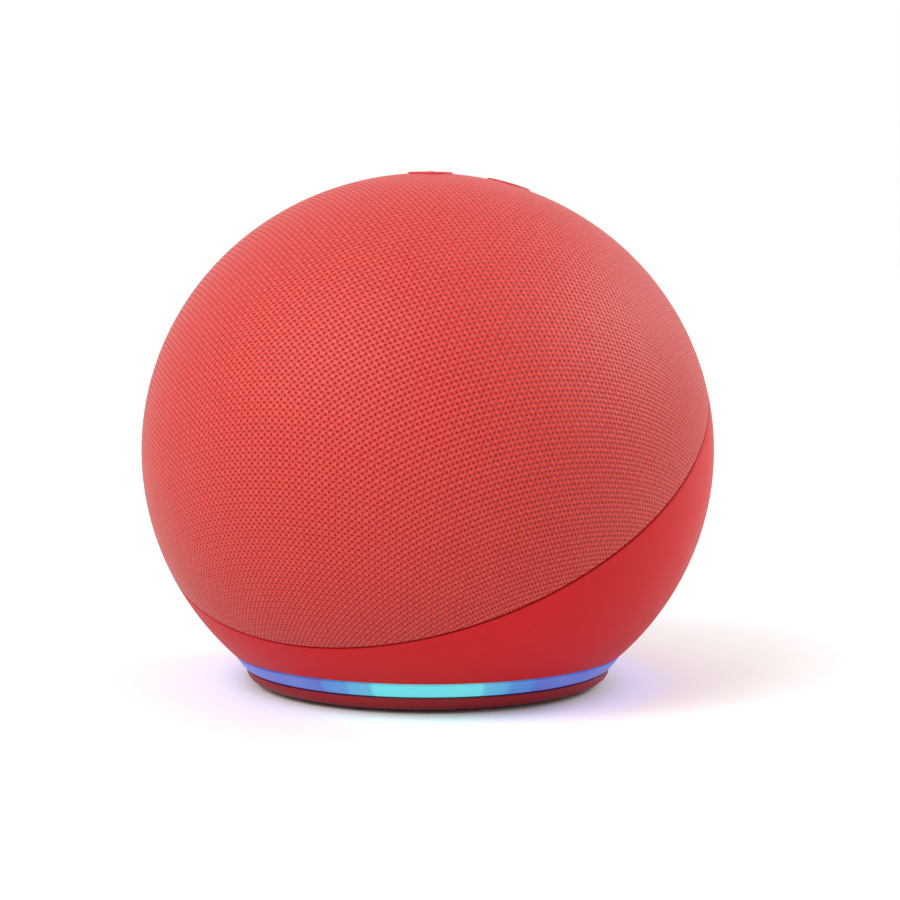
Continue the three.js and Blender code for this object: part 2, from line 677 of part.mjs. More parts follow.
// The sealed box: a cup behind the woofer, with a pod for each tweeter, legs and rear posts.
function enclosure() {
  const lip = ENCLOSURE_RADIUS - ENCLOSURE_WALL;
  const cavity = join(
    cylinder(lip, enclosureBack + ENCLOSURE_WALL, lipFront - 3, 24),
    cylinder(WOOFER_OPENING + 0.5, lipFront - 4, lipFront + 10, 24),
  );
  const cup = placed(cylinder(ENCLOSURE_RADIUS, enclosureBack, lipFront, 24), wooferModule);
  const underButtons = (gap) => {
    const top = buttonBoardBottom - gap;
    const reach = 2 * ENCLOSURE_RADIUS;
    return placed(box([-reach, -reach, top - farSide], [reach, reach, top]), buttonModule);
  };
  const legs = [-15, 15].map((x) =>
    box([x - 3, -35, shellBottom + FLANGE_THICKNESS + FIT], [x + 3, -25, CENTRE_HEIGHT - 15]),
  );
  const posts = [-FRAME_SCREW_X, FRAME_SCREW_X].flatMap((x) =>
    frameScrewZ.map((z) => cylinderY(3.5, 0, boardFront - THIN_FIT, 10, x, z)),
  );
  const screwHoles = [-FRAME_SCREW_X, FRAME_SCREW_X].flatMap((x) =>
    frameScrewZ.map((z) => cylinderY(SCREW_HOLE, boardFront - 8, boardFront + 5, 8, x, z)),
  );
  const frames = Object.values(tweeterSides);
  const pods = frames.map((frame) =>
    placed(cylinder(TWEETER_RADIUS, ENCLOSURE_RADIUS - 5, podFront, 16), frame),
  );
  const podHoles = frames.map((frame) =>
    placed(cylinder(TWEETER_RADIUS - 2, podFront - 14, podFront + 10, 16), frame),
  );
  const wooferHoles = around(4, wooferScrewCircle, 45).map(([x, y]) =>
    placed(cylinder(SCREW_HOLE, lipFront - 6, lipFront + 5, 8, x, y), wooferModule),
  );
  return cut(
    join(common(cup, underButtons(BUTTON_CLEARANCE)), ...legs, ...posts, ...pods),
    common(
      placed(solidGeometry(cavity), wooferModule),
      underButtons(BUTTON_CLEARANCE + ENCLOSURE_WALL),
    ),
    ...podHoles,
    ...screwHoles,
    ...wooferHoles,
  );
}

// A solid as a three.js geometry, so that it can be placed in a frame.
function solidGeometry(shape) {
  const { vertProperties, triVerts } = shape.getMesh();
  const geometry = new THREE.BufferGeometry();
  geometry.setAttribute("position", new THREE.BufferAttribute(vertProperties, 3));
  return geometry.setIndex(new THREE.BufferAttribute(triVerts, 1));
}

// A flat ring about Z.
function ring(inner, outer, bottom, top, sides) {
  return lathe(
    [
      [inner, bottom],
      [outer, bottom],
      [outer, top],
      [inner, top],
    ],
    sides,
  );
}

function wooferBasket() {
  const wall = 1;
  const floorRadius = MAGNET_RADIUS + 1;
  const seat = WOOFER_OPENING - 1;
  const body = lathe(
    [
      [COIL_RADIUS + COIL_GAP + 1.5, basketFloor],
      [floorRadius, basketFloor],
      [seat - 0.9, flangeBack - 6],
      [seat, flangeBack],
      [WOOFER_RADIUS, flangeBack],
      [WOOFER_RADIUS, flangeFront],
      [WOOFER_OPENING - 1.4, flangeFront],
      [seat - 0.9 - wall, flangeBack - 5.5],
      [floorRadius - wall, basketFloor + 1.2],
      [COIL_RADIUS + COIL_GAP + 1.5, basketFloor + 1.2],
    ],
    WOOFER_SIDES,
  );
  const windows = around(6, 1).map((_, i) =>
    box([floorRadius + 1, -6, basketFloor + 4], [WOOFER_RADIUS, 6, flangeBack - 4]).rotateZ(
      degrees(60 * i),
    ),
  );
  const holes = around(4, wooferScrewCircle, 45).map(([x, y]) =>
    cylinder(SCREW_HOLE, flangeBack - 1, flangeFront + 1, 8, x, y),
  );
  return cut(body, ...windows, ...holes);
}

function wooferYoke() {
  const pole = COIL_RADIUS - COIL_GAP;
  return lathe(
    [
      [0, yokeBack],
      [MAGNET_RADIUS - 1, yokeBack],
      [MAGNET_RADIUS, magnetBack - THIN_FIT - 1],
      [MAGNET_RADIUS, magnetBack - THIN_FIT],
      [pole, magnetBack - THIN_FIT],
      [pole, basketFloor - THIN_FIT],
      [0, basketFloor - THIN_FIT],
    ],
    WOOFER_SIDES,
  );
}

function wooferCone() {
  const neck = COIL_RADIUS + COIL_WALL + 0.3;
  return lathe(
    [
      [neck, coneNeck],
      [neck + 0.9, coneNeck],
      [(neck + CONE_RADIUS) / 2 + 2, (coneNeck + coneEdge) / 2 - 0.6],
      [CONE_RADIUS, coneEdge],
      [CONE_RADIUS, coneEdge + 0.6],
      [(neck + CONE_RADIUS) / 2 + 1.6, (coneNeck + coneEdge) / 2 + 0.2],
      [neck, coneNeck + 1],
    ],
    WOOFER_SIDES,
  );
}

// A dome cap of even wall about Z: its rim radius, its rim height, its rise and its wall.
function domeCap(radius, bottom, rise, wall, sides, steps = 3) {
  const curve = (r, base, height) =>
    Array.from({ length: steps + 1 }, (_, i) => {
      const angle = ((Math.PI / 2) * i) / steps;
      return [r * Math.cos(angle), base + height * Math.sin(angle)];
    });
  const outer = curve(radius, bottom, rise);
  const inner = curve(radius - wall, bottom, rise - wall).reverse();
  outer[steps][0] = 0;
  inner[0][0] = 0;
  return lathe([...inner, ...outer].reverse(), sides);
}

function dustCap() {
  return domeCap(COIL_RADIUS + 3.2, coneNeck + 3.6, 4.2, 0.6, 16);
}

function voiceCoil() {
  return ring(COIL_RADIUS, COIL_RADIUS + COIL_WALL, topPlateBack - 4, coneNeck + 1.5, 20);
}

// The rubber half-roll between the cone's edge and the flange.
function wooferSurround() {
  const innerEdge = CONE_RADIUS - 2;
  const rollInner = CONE_RADIUS + 0.4;
  const rollOuter = WOOFER_OPENING - 0.6;
  const middle = (rollInner + rollOuter) / 2;
  const rise = (rollOuter - rollInner) / 2;
  const base = flangeFront + THIN_FIT;
  const wall = 0.5;
  const steps = 4;
  const arc = (radius) =>
    Array.from({ length: steps + 1 }, (_, i) => {
      const angle = Math.PI - (Math.PI * i) / steps;
      return [middle + radius * Math.cos(angle), base + radius * Math.sin(angle)];
    });
  return lathe(
    [
      [innerEdge, coneEdge + 1.3],
      [rollInner, coneEdge + 1.3],
      ...arc(rise),
      [surroundOuter, base],
      [surroundOuter, base + wall],
      ...arc(rise + wall).reverse(),
      [rollInner - wall, coneEdge + 1.3 + wall],
      [innerEdge, coneEdge + 1.3 + wall],
    ],
    WOOFER_SIDES,
  );
}

// The corrugated cloth disc that centres the coil, above the basket's floor.
function wooferSpider() {
  const inner = COIL_RADIUS + COIL_WALL + 0.2;
  const outer = MAGNET_RADIUS - 1.2;
  const level = basketFloor + 2.6;
  const waves = 4;
  const wave = (lift) =>
    Array.from({ length: waves + 1 }, (_, i) => [
      inner + ((outer - inner) * i) / waves,
      level + lift + (i % 2 ? 0.5 : 0),
    ]);
  return lathe([...wave(0), ...wave(0.4).reverse()], WOOFER_SIDES);
}

// ---------------------------------------------------------------- a tweeter

const tweeterPole = TWEETER_DOME - 1.4;
const tweeterPot = TWEETER_DOME + 2.2;
const motorFront = podFront - 0.6;
const motorBack = motorFront - 8.5;

function tweeterMotor() {
  return lathe(
    [
      [0, motorBack],
      [tweeterPot, motorBack],
      [tweeterPot, motorFront],
      [TWEETER_DOME + 0.3, motorFront],
      [TWEETER_DOME + 0.3, motorBack + 2.5],
      [tweeterPole, motorBack + 2.5],
      [tweeterPole, motorFront],
      [0, motorFront],
    ],
    TWEETER_SIDES,
  );
}

function tweeterFrameRing() {
  const lipFrontFace = tweeterFace + 0.8;
  return lathe(
    [
      [TWEETER_DOME + 1.3, podFront + THIN_FIT],
      [TWEETER_RADIUS, podFront + THIN_FIT],
      [TWEETER_RADIUS, tweeterFace],
      [TWEETER_DOME + 3, lipFrontFace],
      [TWEETER_DOME + 1.3, tweeterFace - 0.4],
    ],
    TWEETER_SIDES,
  );
}

// The silk dome with its coil, which hangs in the motor's gap.
function tweeterDome() {
  const rim = podFront + 0.5;
  const coil = ring(TWEETER_DOME - 0.9, TWEETER_DOME - 0.3, motorBack + 4.5, rim + 0.3, TWEETER_SIDES);
  const suspension = ring(TWEETER_DOME - 0.9, TWEETER_DOME + 1, rim, rim + 0.5, TWEETER_SIDES);
  return join(domeCap(TWEETER_DOME - 0.2, rim, 4, 0.5, TWEETER_SIDES), coil, suspension);
}

// ---------------------------------------------------------------- the electronics

function mainBoard() {
  const half = MAIN_BOARD_WIDTH / 2;
  const topZ = boardBottomZ + MAIN_BOARD_HEIGHT;
  const board = box([-half, boardFront, boardBottomZ], [half, boardBack, topZ]);
  const capacitors = [10 - FRAME_SCREW_X, -8, 8].map((x) =>
    cylinderY(3, boardFront - 3.2, boardFront + 0.3, 10, x, boardBottomZ + 9),
  );
  const inductor = box(
    [FRAME_SCREW_X - 14, boardFront - 3, boardBottomZ + 5],
    [FRAME_SCREW_X - 7, boardFront + 0.3, boardBottomZ + 12],
  );
  const sockets = [topZ - 6, boardBottomZ + 1].map((z) =>
    box([-6, boardBack - 0.3, z], [6, boardBack + 0.8, z + 2.5]),
  );
  const holes = [-FRAME_SCREW_X, FRAME_SCREW_X].flatMap((x) =>
    frameScrewZ.map((z) => cylinderY(SCREW_HOLE, boardFront - 1, boardBack + 1, 8, x, z)),
  );
  return cut(join(board, ...capacitors, inductor, ...sockets), ...holes);
}

const shieldLow = CENTRE_HEIGHT - 11;
const shieldHigh = CENTRE_HEIGHT + 15;

function processorShield() {
  const front = boardBack + THIN_FIT;
  return box([-15, front, shieldLow], [15, front + SHIELD_HEIGHT, shieldHigh]);
}

function thermalPadBlock() {
  const front = boardBack + SHIELD_HEIGHT + 2 * THIN_FIT;
  return box([-13, front, shieldLow + 2], [13, front + PAD_THICKNESS, shieldHigh - 2]);
}

function heatSink() {
  const low = boardBottomZ + 2;
  const high = boardBottomZ + MAIN_BOARD_HEIGHT - 6;
  const footBottom = shellBottom + FLANGE_THICKNESS + FIT;
  const plate = box([-38, sinkFront, low], [38, sinkBack, high]);
  const fins = Array.from({ length: SINK_FIN_COUNT }, (_, i) => {
    const x = (i - (SINK_FIN_COUNT - 1) / 2) * SINK_FIN_STEP;
    return box(
      [x - SINK_FIN / 2, sinkBack - 0.5, low],
      [x + SINK_FIN / 2, sinkBack + SINK_FIN_REACH, high],
    );
  });
  const legs = [-25.5, 25.5].map((x) =>
    join(
      box([x - 3.5, sinkFront, footBottom], [x + 3.5, sinkBack, low + 2]),
      box([x - 3.5, sinkFront, footBottom], [x + 3.5, sinkFront + 6, footBottom + 2]),
    ),
  );
  const holes = [-FRAME_SCREW_X, FRAME_SCREW_X].flatMap((x) =>
    frameScrewZ.map((z) => cylinderY(SCREW_HOLE, sinkFront - 1, sinkBack + 1, 8, x, z)),
  );
  return cut(common(join(plate, ...fins, ...legs), ball(SHELL_WALL + 2)), ...holes);
}

// A screw along Y, from behind the heat sink into an enclosure post.
function frameScrew(x, z) {
  const headFront = sinkBack + THIN_FIT;
  return join(
    cylinderY(SCREW_HEAD, headFront, headFront + SCREW_HEAD_HEIGHT, SCREW_SIDES, x, z),
    cylinderY(SCREW_RADIUS, boardFront - 6, headFront + 0.5, SCREW_SIDES, x, z),
  );
}

function jackBoard() {
  const board = common(
    box([-19, jackFace - 20, jackBoardTop - BOARD_THICKNESS], [19, jackFace - 3, jackBoardTop]),
    ball(SHELL_WALL + facetSag + FIT),
  );
  const holes = stakes.map(([x, y]) => cylinder(1.5, 0, 30, 8, x, y));
  return cut(board, ...holes);
}

// A socket: a block on the board with a round nose in the recess, bored for its plug.
function socketBlock({ x, recess }, halfWidth, bore, depth) {
  const top = JACK_HEIGHT + halfWidth;
  const block = common(
    box(
      [x - halfWidth, jackFace - 14, jackBoardTop + THIN_FIT],
      [x + halfWidth, jackFace - 1 - FIT, top],
    ),
    ball(SHELL_WALL + facetSag + FIT),
  );
  const nose = cylinderY(recess - FIT, jackFace - 2, jackFace, 16, x, JACK_HEIGHT);
  return cut(join(block, nose), cylinderY(bore, jackFace - depth, jackFace + 5, 14, x, JACK_HEIGHT));
}

function powerSocket() {
  const block = socketBlock(sockets[0], 5.2, POWER_BORE, 11);
  return join(
    block,
    cylinderY(POWER_PIN, jackFace - 12, jackFace - 1.5, 8, sockets[0].x, JACK_HEIGHT),
  );
}

// Points of the button module's own frame, as [y, z] in the part's frame.
function modulePoint(y, z) {
  const point = buttonModule.localToWorld(new THREE.Vector3(0, y, z));
  return [point.y, point.z];
}

function buttonRibbon() {
  const start = modulePoint(12.5, buttonBoardBottom - 0.5);
  const socket = [boardBack + 0.5, boardBottomZ + MAIN_BOARD_HEIGHT - 3];
  return ribbon([start, [boardBack + 2.4, (start[1] + socket[1]) / 2], socket], 9);
}

function ledRibbon() {
  return ribbon(
    [
      [flangeInner + 3, ledBoardTop + 0.5],
      [flangeInner + 1, ledBoardTop + 0.5],
      [flangeInner - 2.5, shellBottom + 1],
      [boardBack + 2, (shellBottom + boardBottomZ) / 2],
      [boardBack + 0.6, boardBottomZ + 0.6],
    ],
    7,
  );
}

// ---------------------------------------------------------------- the assembly

node("fabric_cover", fabricCover(), fabric);
node("grille_dome", grilleDome(), blackPlastic);
node("seam_gasket", seamGasket(), foam);
node("rear_shell", rearShell(), redPlastic);
node("base_cover", baseCover(), redPlastic);
node("foot_ring", footRing(), redRubber);
node("light_ring", lightRing(), lightGuide);
node("led_board", ledBoard(), circuitBoard);
bosses.forEach(([x, y], i) => {
  const head = FOOT_HEIGHT + 2 * THIN_FIT;
  node(`base_screw_${i + 1}`, screw(head, BOSS_TOP - 5, x, y), zincSteel);
});

Object.entries(buttonAngles).forEach(([use, angle]) => {
  const [at] = around(1, BUTTON_CIRCLE, angle);
  const plunger = cylinder(PLUNGER_RADIUS, plungerTop - 1.35, plungerTop, 12, ...at);
  node(`button_${use}`, buttonCap(at), buttonPlastic, buttonModule);
  node(`plunger_${use}`, plunger, blackPlastic, buttonModule);
});
node("button_carrier", buttonCarrier(), blackPlastic, buttonModule);
node("button_board", buttonBoard(), circuitBoard, buttonModule);
around(4, BUTTON_SCREW_CIRCLE, 45).forEach((at, i) => {
  node(`button_screw_${i + 1}`, buttonScrew(at), zincSteel, buttonModule);
});

node("speaker_enclosure", enclosure(), blackPlastic);
node(
  "woofer_gasket",
  ring(WOOFER_OPENING + 0.5, WOOFER_RADIUS - 4, lipFront + FIT, flangeBack - FIT, WOOFER_SIDES),
  foam,
  wooferModule,
);
node("woofer_basket", wooferBasket(), zincSteel, wooferModule);
node(
  "woofer_top_plate",
  ring(
    COIL_RADIUS + COIL_WALL + COIL_GAP,
    MAGNET_RADIUS,
    topPlateBack,
    basketFloor - THIN_FIT,
    WOOFER_SIDES,
  ),
  zincSteel,
  wooferModule,
);
node(
  "woofer_magnet",
  ring(COIL_RADIUS + 2.5, MAGNET_RADIUS + 1, magnetBack, topPlateBack - THIN_FIT, WOOFER_SIDES),
  ferrite,
  wooferModule,
);
node("woofer_yoke", wooferYoke(), zincSteel, wooferModule);
node("woofer_voice_coil", voiceCoil(), copper, wooferModule);
node("woofer_spider", wooferSpider(), spiderCloth, wooferModule);
node("woofer_cone", wooferCone(), paperCone, wooferModule);
node("woofer_dust_cap", dustCap(), paperCone, wooferModule);
node("woofer_surround", wooferSurround(), butylRubber, wooferModule);
around(4, wooferScrewCircle, 45).forEach(([x, y], i) => {
  const head = cylinder(SCREW_HEAD, flangeFront + THIN_FIT, flangeFront + 1.4, SCREW_SIDES, x, y);
  const thread = cylinder(SCREW_RADIUS, lipFront - 4, flangeFront + 0.5, SCREW_SIDES, x, y);
  node(`woofer_screw_${i + 1}`, join(head, thread), zincSteel, wooferModule);
});

for (const [side, frame] of Object.entries(tweeterSides)) {
  node(`tweeter_${side}_frame`, tweeterFrameRing(), blackPlastic, frame);
  node(`tweeter_${side}_motor`, tweeterMotor(), zincSteel, frame);
  node(`tweeter_${side}_dome`, tweeterDome(), silk, frame);
}

node("main_board", mainBoard(), circuitBoard);
node("processor_shield", processorShield(), zincSteel);
node("thermal_pad", thermalPadBlock(), thermalPad);
node("heat_sink", heatSink(), aluminium);
[-FRAME_SCREW_X, FRAME_SCREW_X]
  .flatMap((x) => frameScrewZ.map((z) => [x, z]))
  .forEach(([x, z], i) => {
    node(`frame_screw_${i + 1}`, frameScrew(x, z), zincSteel);
  });
node("jack_board", jackBoard(), circuitBoard);
node("power_socket", powerSocket(), blackPlastic);
node("audio_socket", socketBlock(sockets[1], 4, AUDIO_BORE, 13), blackPlastic);
node("button_ribbon", buttonRibbon(), ribbonFilm);
node("led_ribbon", ledRibbon(), ribbonFilm);

export default speaker;
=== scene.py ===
# %% [markdown]
# # A ball-shaped smart speaker
# This lesson dresses a finished mechanical model. The visible parts get smooth surfaces here, and
# the parts inside get real materials.

# %% Load the frame
import json
import math

import bmesh
import bpy
from mathutils import Matrix, Vector


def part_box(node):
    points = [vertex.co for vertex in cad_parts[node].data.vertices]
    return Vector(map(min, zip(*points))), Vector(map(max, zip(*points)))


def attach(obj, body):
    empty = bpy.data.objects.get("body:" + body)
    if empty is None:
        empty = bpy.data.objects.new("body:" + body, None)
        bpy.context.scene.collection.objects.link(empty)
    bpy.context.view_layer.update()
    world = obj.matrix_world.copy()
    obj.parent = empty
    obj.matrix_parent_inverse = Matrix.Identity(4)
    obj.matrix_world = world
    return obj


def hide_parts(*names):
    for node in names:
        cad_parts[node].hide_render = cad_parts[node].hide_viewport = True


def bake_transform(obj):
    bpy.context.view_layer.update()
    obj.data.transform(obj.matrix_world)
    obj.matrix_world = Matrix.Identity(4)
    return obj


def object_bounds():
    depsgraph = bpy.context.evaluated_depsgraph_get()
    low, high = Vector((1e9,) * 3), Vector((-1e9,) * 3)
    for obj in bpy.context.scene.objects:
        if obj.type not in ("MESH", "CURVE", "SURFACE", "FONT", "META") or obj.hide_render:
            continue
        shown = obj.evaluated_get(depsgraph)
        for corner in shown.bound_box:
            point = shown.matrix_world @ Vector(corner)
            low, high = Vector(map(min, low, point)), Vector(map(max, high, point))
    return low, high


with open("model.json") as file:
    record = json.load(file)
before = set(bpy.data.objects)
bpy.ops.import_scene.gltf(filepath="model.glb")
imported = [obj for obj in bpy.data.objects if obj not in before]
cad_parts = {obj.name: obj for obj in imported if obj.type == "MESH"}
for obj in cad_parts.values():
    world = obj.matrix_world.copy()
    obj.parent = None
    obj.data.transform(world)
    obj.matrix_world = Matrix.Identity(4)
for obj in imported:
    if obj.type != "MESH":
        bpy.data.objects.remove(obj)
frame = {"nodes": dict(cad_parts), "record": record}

cad_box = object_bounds()
MM = 0.001
print("CAD box in mm:", [[round(c / MM, 1) for c in corner] for corner in cad_box])

# %% [markdown]
# ## The camera
# The camera comes first, because everything else is judged through it. It stands a little above the
# table, well to the right of the front, with a long lens, so the ball shows more of its right side.

# %% Camera
CENTRE = Vector((0, 0, 58.9 * MM))
VIEW_AZIMUTH = math.radians(31.8)
VIEW_ELEVATION = math.radians(6.76)
VIEW_DISTANCE = 0.8

towards_camera = Vector(
    (
        math.sin(VIEW_AZIMUTH) * math.cos(VIEW_ELEVATION),
        -math.cos(VIEW_AZIMUTH) * math.cos(VIEW_ELEVATION),
        math.sin(VIEW_ELEVATION),
    )
)
lens = bpy.data.cameras.new("camera")
lens.lens = 126.8
lens.sensor_width = 36
lens.shift_x = 0.0247
lens.clip_start = 0.05
lens.clip_end = 50
camera = bpy.data.objects.new("camera", lens)
bpy.context.scene.collection.objects.link(camera)
camera.location = CENTRE + VIEW_DISTANCE * towards_camera
camera.rotation_euler = (-towards_camera).to_track_quat("-Z", "Y").to_euler()
bpy.context.scene.camera = camera
bpy.context.scene.view_settings.view_transform = "Standard"
print("camera at", [round(c, 3) for c in camera.location])

# %% [markdown]
# ## Sizes that the visible pieces share
# The ball is an ellipsoid a little wider than it is high. A tilted plane, the seam, parts it into the
# fabric dome in front and the plastic shell behind. Only a few sizes are written here. The rest is
# read from the CAD parts' boxes, so that each smooth piece takes its place exactly.

# %% Shared sizes
RADIUS = (cad_box[1][0] - cad_box[0][0]) / 2
HALF_HEIGHT = 69.7 * MM
SEAM_TILT = math.radians(57.4)
SEAM_OFFSET = -3.7 * MM
SEAM_GAP = 0.35 * MM
FABRIC_THICKNESS = 0.9 * MM
SHELL_WALL = 2.4 * MM

seam_normal = Vector((0, -math.cos(SEAM_TILT), math.sin(SEAM_TILT)))
ring_low, ring_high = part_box("light_ring")
shell_bottom = ring_high[2] + 0.4 * MM
base_top = ring_low[2] - 0.4 * MM


def radius_at(z):
    """The ball's horizontal radius at a height."""
    return RADIUS * math.sqrt(1 - ((z - CENTRE.z) / HALF_HEIGHT) ** 2)


print("radius at the shell's lower edge:", round(radius_at(shell_bottom) / MM, 2), "mm")

# %% [markdown]
# ## Helpers for meshes
# Every new piece starts as a bmesh and becomes an object at the origin, with its place in its mesh.
# Most are turned shapes, as a potter or a lathe would make: an outline is spun round the axis. Holes
# are cut by the Boolean modifier, which keeps the wall closed, and a bevel then eases their edges.

# %% Mesh helpers
SHARP = math.radians(38)
WELD = 0.0001 * MM
CORNER_SHARE = 0.45


def ellipsoid_height(x, y, proud=0.0):
    """The height of the ball's upper surface over a point, or of a surface that stands proud of it."""
    share = (x * x + y * y) / (RADIUS + proud) ** 2
    return CENTRE.z + (HALF_HEIGHT + proud) * math.sqrt(1 - share)


def shade(made):
    """Smooth faces, with the edges sharper than the limit left crisp."""
    made.data.shade_smooth()
    made.data.set_sharp_from_angle(angle=SHARP)


def piece(name, bm, material, body="body"):
    """Turns a bmesh into a finished object. It rides on a body, or on none when body is None."""
    bmesh.ops.remove_doubles(bm, verts=bm.verts, dist=WELD)
    bmesh.ops.recalc_face_normals(bm, faces=bm.faces)
    mesh = bpy.data.meshes.new(name)
    bm.to_mesh(mesh)
    bm.free()
    mesh.materials.append(material)
    made = bpy.data.objects.new(name, mesh)
    bpy.context.scene.collection.objects.link(made)
    shade(made)
    if body:
        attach(made, body)
    print(f"{name}: {len(mesh.polygons)} faces, {body or 'blended'}")
    return made


def turned(profile, steps, place=None):
    """Spins (radius, height) points round Z into a closed solid. Both ends lie on the axis or meet."""
    bm = bmesh.new()
    verts = [bm.verts.new((r, 0, z)) for r, z in profile]
    edges = [bm.edges.new(pair) for pair in zip(verts, verts[1:])]
    if profile[0][0] > 0:
        edges.append(bm.edges.new((verts[-1], verts[0])))
    bmesh.ops.spin(
        bm,
        geom=verts + edges,
        cent=(0, 0, 0),
        axis=(0, 0, 1),
        angle=math.tau,
        steps=steps,
        use_merge=True,
    )
    bmesh.ops.remove_doubles(bm, verts=bm.verts, dist=WELD)
    if place:
        bmesh.ops.transform(bm, matrix=place, verts=bm.verts)
    return bm


def eased(before, corner, after, reach, steps=4):
    """The points of one rounded corner between its two neighbours."""
    here = Vector(corner)
    start = here + (Vector(before) - here).normalized() * reach
    end = here + (Vector(after) - here).normalized() * reach
    shares = [k / steps for k in range(steps + 1)]
    return [tuple(start * (1 - t) ** 2 + here * 2 * t * (1 - t) + end * t**2) for t in shares]


def rounded(corners, reach, steps=4):
    """A closed outline with each corner off the axis rounded, but never past half of a side."""
    points = []
    for i, corner in enumerate(corners):
        before = corners[i - 1]
        after = corners[(i + 1) % len(corners)]
        if corner[0] == 0:
            points.append(corner)
            continue
        shorter = min(math.dist(before, corner), math.dist(corner, after))
        points += eased(before, corner, after, min(reach, CORNER_SHARE * shorter), steps)
    return points


def tool(bm):
    """A plain object for a Boolean modifier to work with. It's removed straight after its use."""
    bmesh.ops.recalc_face_normals(bm, faces=bm.faces)
    mesh = bpy.data.meshes.new("tool")
    bm.to_mesh(mesh)
    bm.free()
    made = bpy.data.objects.new("tool", mesh)
    bpy.context.scene.collection.objects.link(made)
    return made


def combine(made, operation, bm):
    """Joins a closed bmesh to a piece, or cuts it away, and keeps the result as the piece's mesh."""
    other = tool(bm)
    modifier = made.modifiers.new("boolean", "BOOLEAN")
    modifier.operation = operation
    modifier.solver = "EXACT"
    modifier.object = other
    bpy.context.view_layer.update()
    done = made.evaluated_get(bpy.context.evaluated_depsgraph_get())
    mesh = bpy.data.meshes.new_from_object(done)
    made.modifiers.clear()
    made.data = mesh
    bpy.data.objects.remove(other)
    shade(made)
    print(f"{made.name}: {operation.lower()} leaves {len(mesh.polygons)} faces")


def soften(made, chosen, offset, segments=2):
    """Bevels the sharp edges of a piece whose middle passes a test, as a moulding's edges are eased."""
    bm = bmesh.new()
    bm.from_mesh(made.data)
    edges = []
    for edge in bm.edges:
        middle = (edge.verts[0].co + edge.verts[1].co) / 2
        if len(edge.link_faces) == 2 and edge.calc_face_angle(0) > SHARP and chosen(middle):
            edges.append(edge)
    bmesh.ops.bevel(
        bm,
        geom=edges,
        offset=offset,
        offset_type="OFFSET",
        affect="EDGES",
        segments=segments,
        profile=0.5,
        material=-1,
        clamp_overlap=True,
    )
    bm.to_mesh(made.data)
    bm.free()
    shade(made)
    print(f"{made.name}: {len(edges)} edges eased")


# %% [markdown]
# ## Helpers for materials
# A small wrapper keeps the node trees short. Each material is a Principled shader. Its base colour
# varies a little, and its surface comes from a height pattern, so no surface is one flat colour.

# %% Material helpers
class Nodes:
    """A material's node tree, with short calls for the nodes that the finishes use."""

    def __init__(self, name):
        self.material = bpy.data.materials.new(name)
        self.material.use_nodes = True
        self.tree = self.material.node_tree
        self.tree.nodes.clear()
        self.shader = self.tree.nodes.new("ShaderNodeBsdfPrincipled")
        out = self.tree.nodes.new("ShaderNodeOutputMaterial")
        self.tree.links.new(self.shader.outputs["BSDF"], out.inputs["Surface"])
        self.coordinates = self.tree.nodes.new("ShaderNodeTexCoord")

    def node(self, kind, inputs=None, **settings):
        made = self.tree.nodes.new("ShaderNode" + kind)
        for key, value in settings.items():
            setattr(made, key, value)
        for key, value in (inputs or {}).items():
            self.put(made.inputs[key], value)
        return made

    def put(self, socket, value):
        if isinstance(value, bpy.types.NodeSocket):
            self.tree.links.new(value, socket)
        else:
            socket.default_value = value

    def math(self, operation, a, b=0.0, c=0.0):
        made = self.node("Math", {0: a, 1: b, 2: c}, operation=operation)
        return made.outputs[0]

    def noise(self, where, scale, detail=3.0, roughness=0.5):
        made = self.node(
            "TexNoise",
            {"Vector": where, "Scale": scale, "Detail": detail, "Roughness": roughness},
        )
        return made.outputs["Fac"]

    def span(self, value, low, high, to_low, to_high):
        made = self.node("MapRange", {0: value, 1: low, 2: high, 3: to_low, 4: to_high})
        return made.outputs[0]

    def mix(self, share, a, b):
        made = self.node("Mix", data_type="RGBA", blend_type="MIX")
        self.put(made.inputs["Factor"], share)
        self.put(made.inputs["A"], a)
        self.put(made.inputs["B"], b)
        return made.outputs["Result"]

    def bump(self, height, distance, strength=1.0):
        made = self.node("Bump", {"Height": height, "Distance": distance, "Strength": strength})
        return made.outputs["Normal"]

    def set(self, **values):
        names = {
            "base": "Base Color",
            "roughness": "Roughness",
            "metallic": "Metallic",
            "normal": "Normal",
            "specular": "Specular IOR Level",
            "emission": "Emission Color",
            "emission_strength": "Emission Strength",
        }
        for key, value in values.items():
            self.put(self.shader.inputs[names[key]], value)
        return self.material


def colour(red, green, blue):
    return (red, green, blue, 1.0)
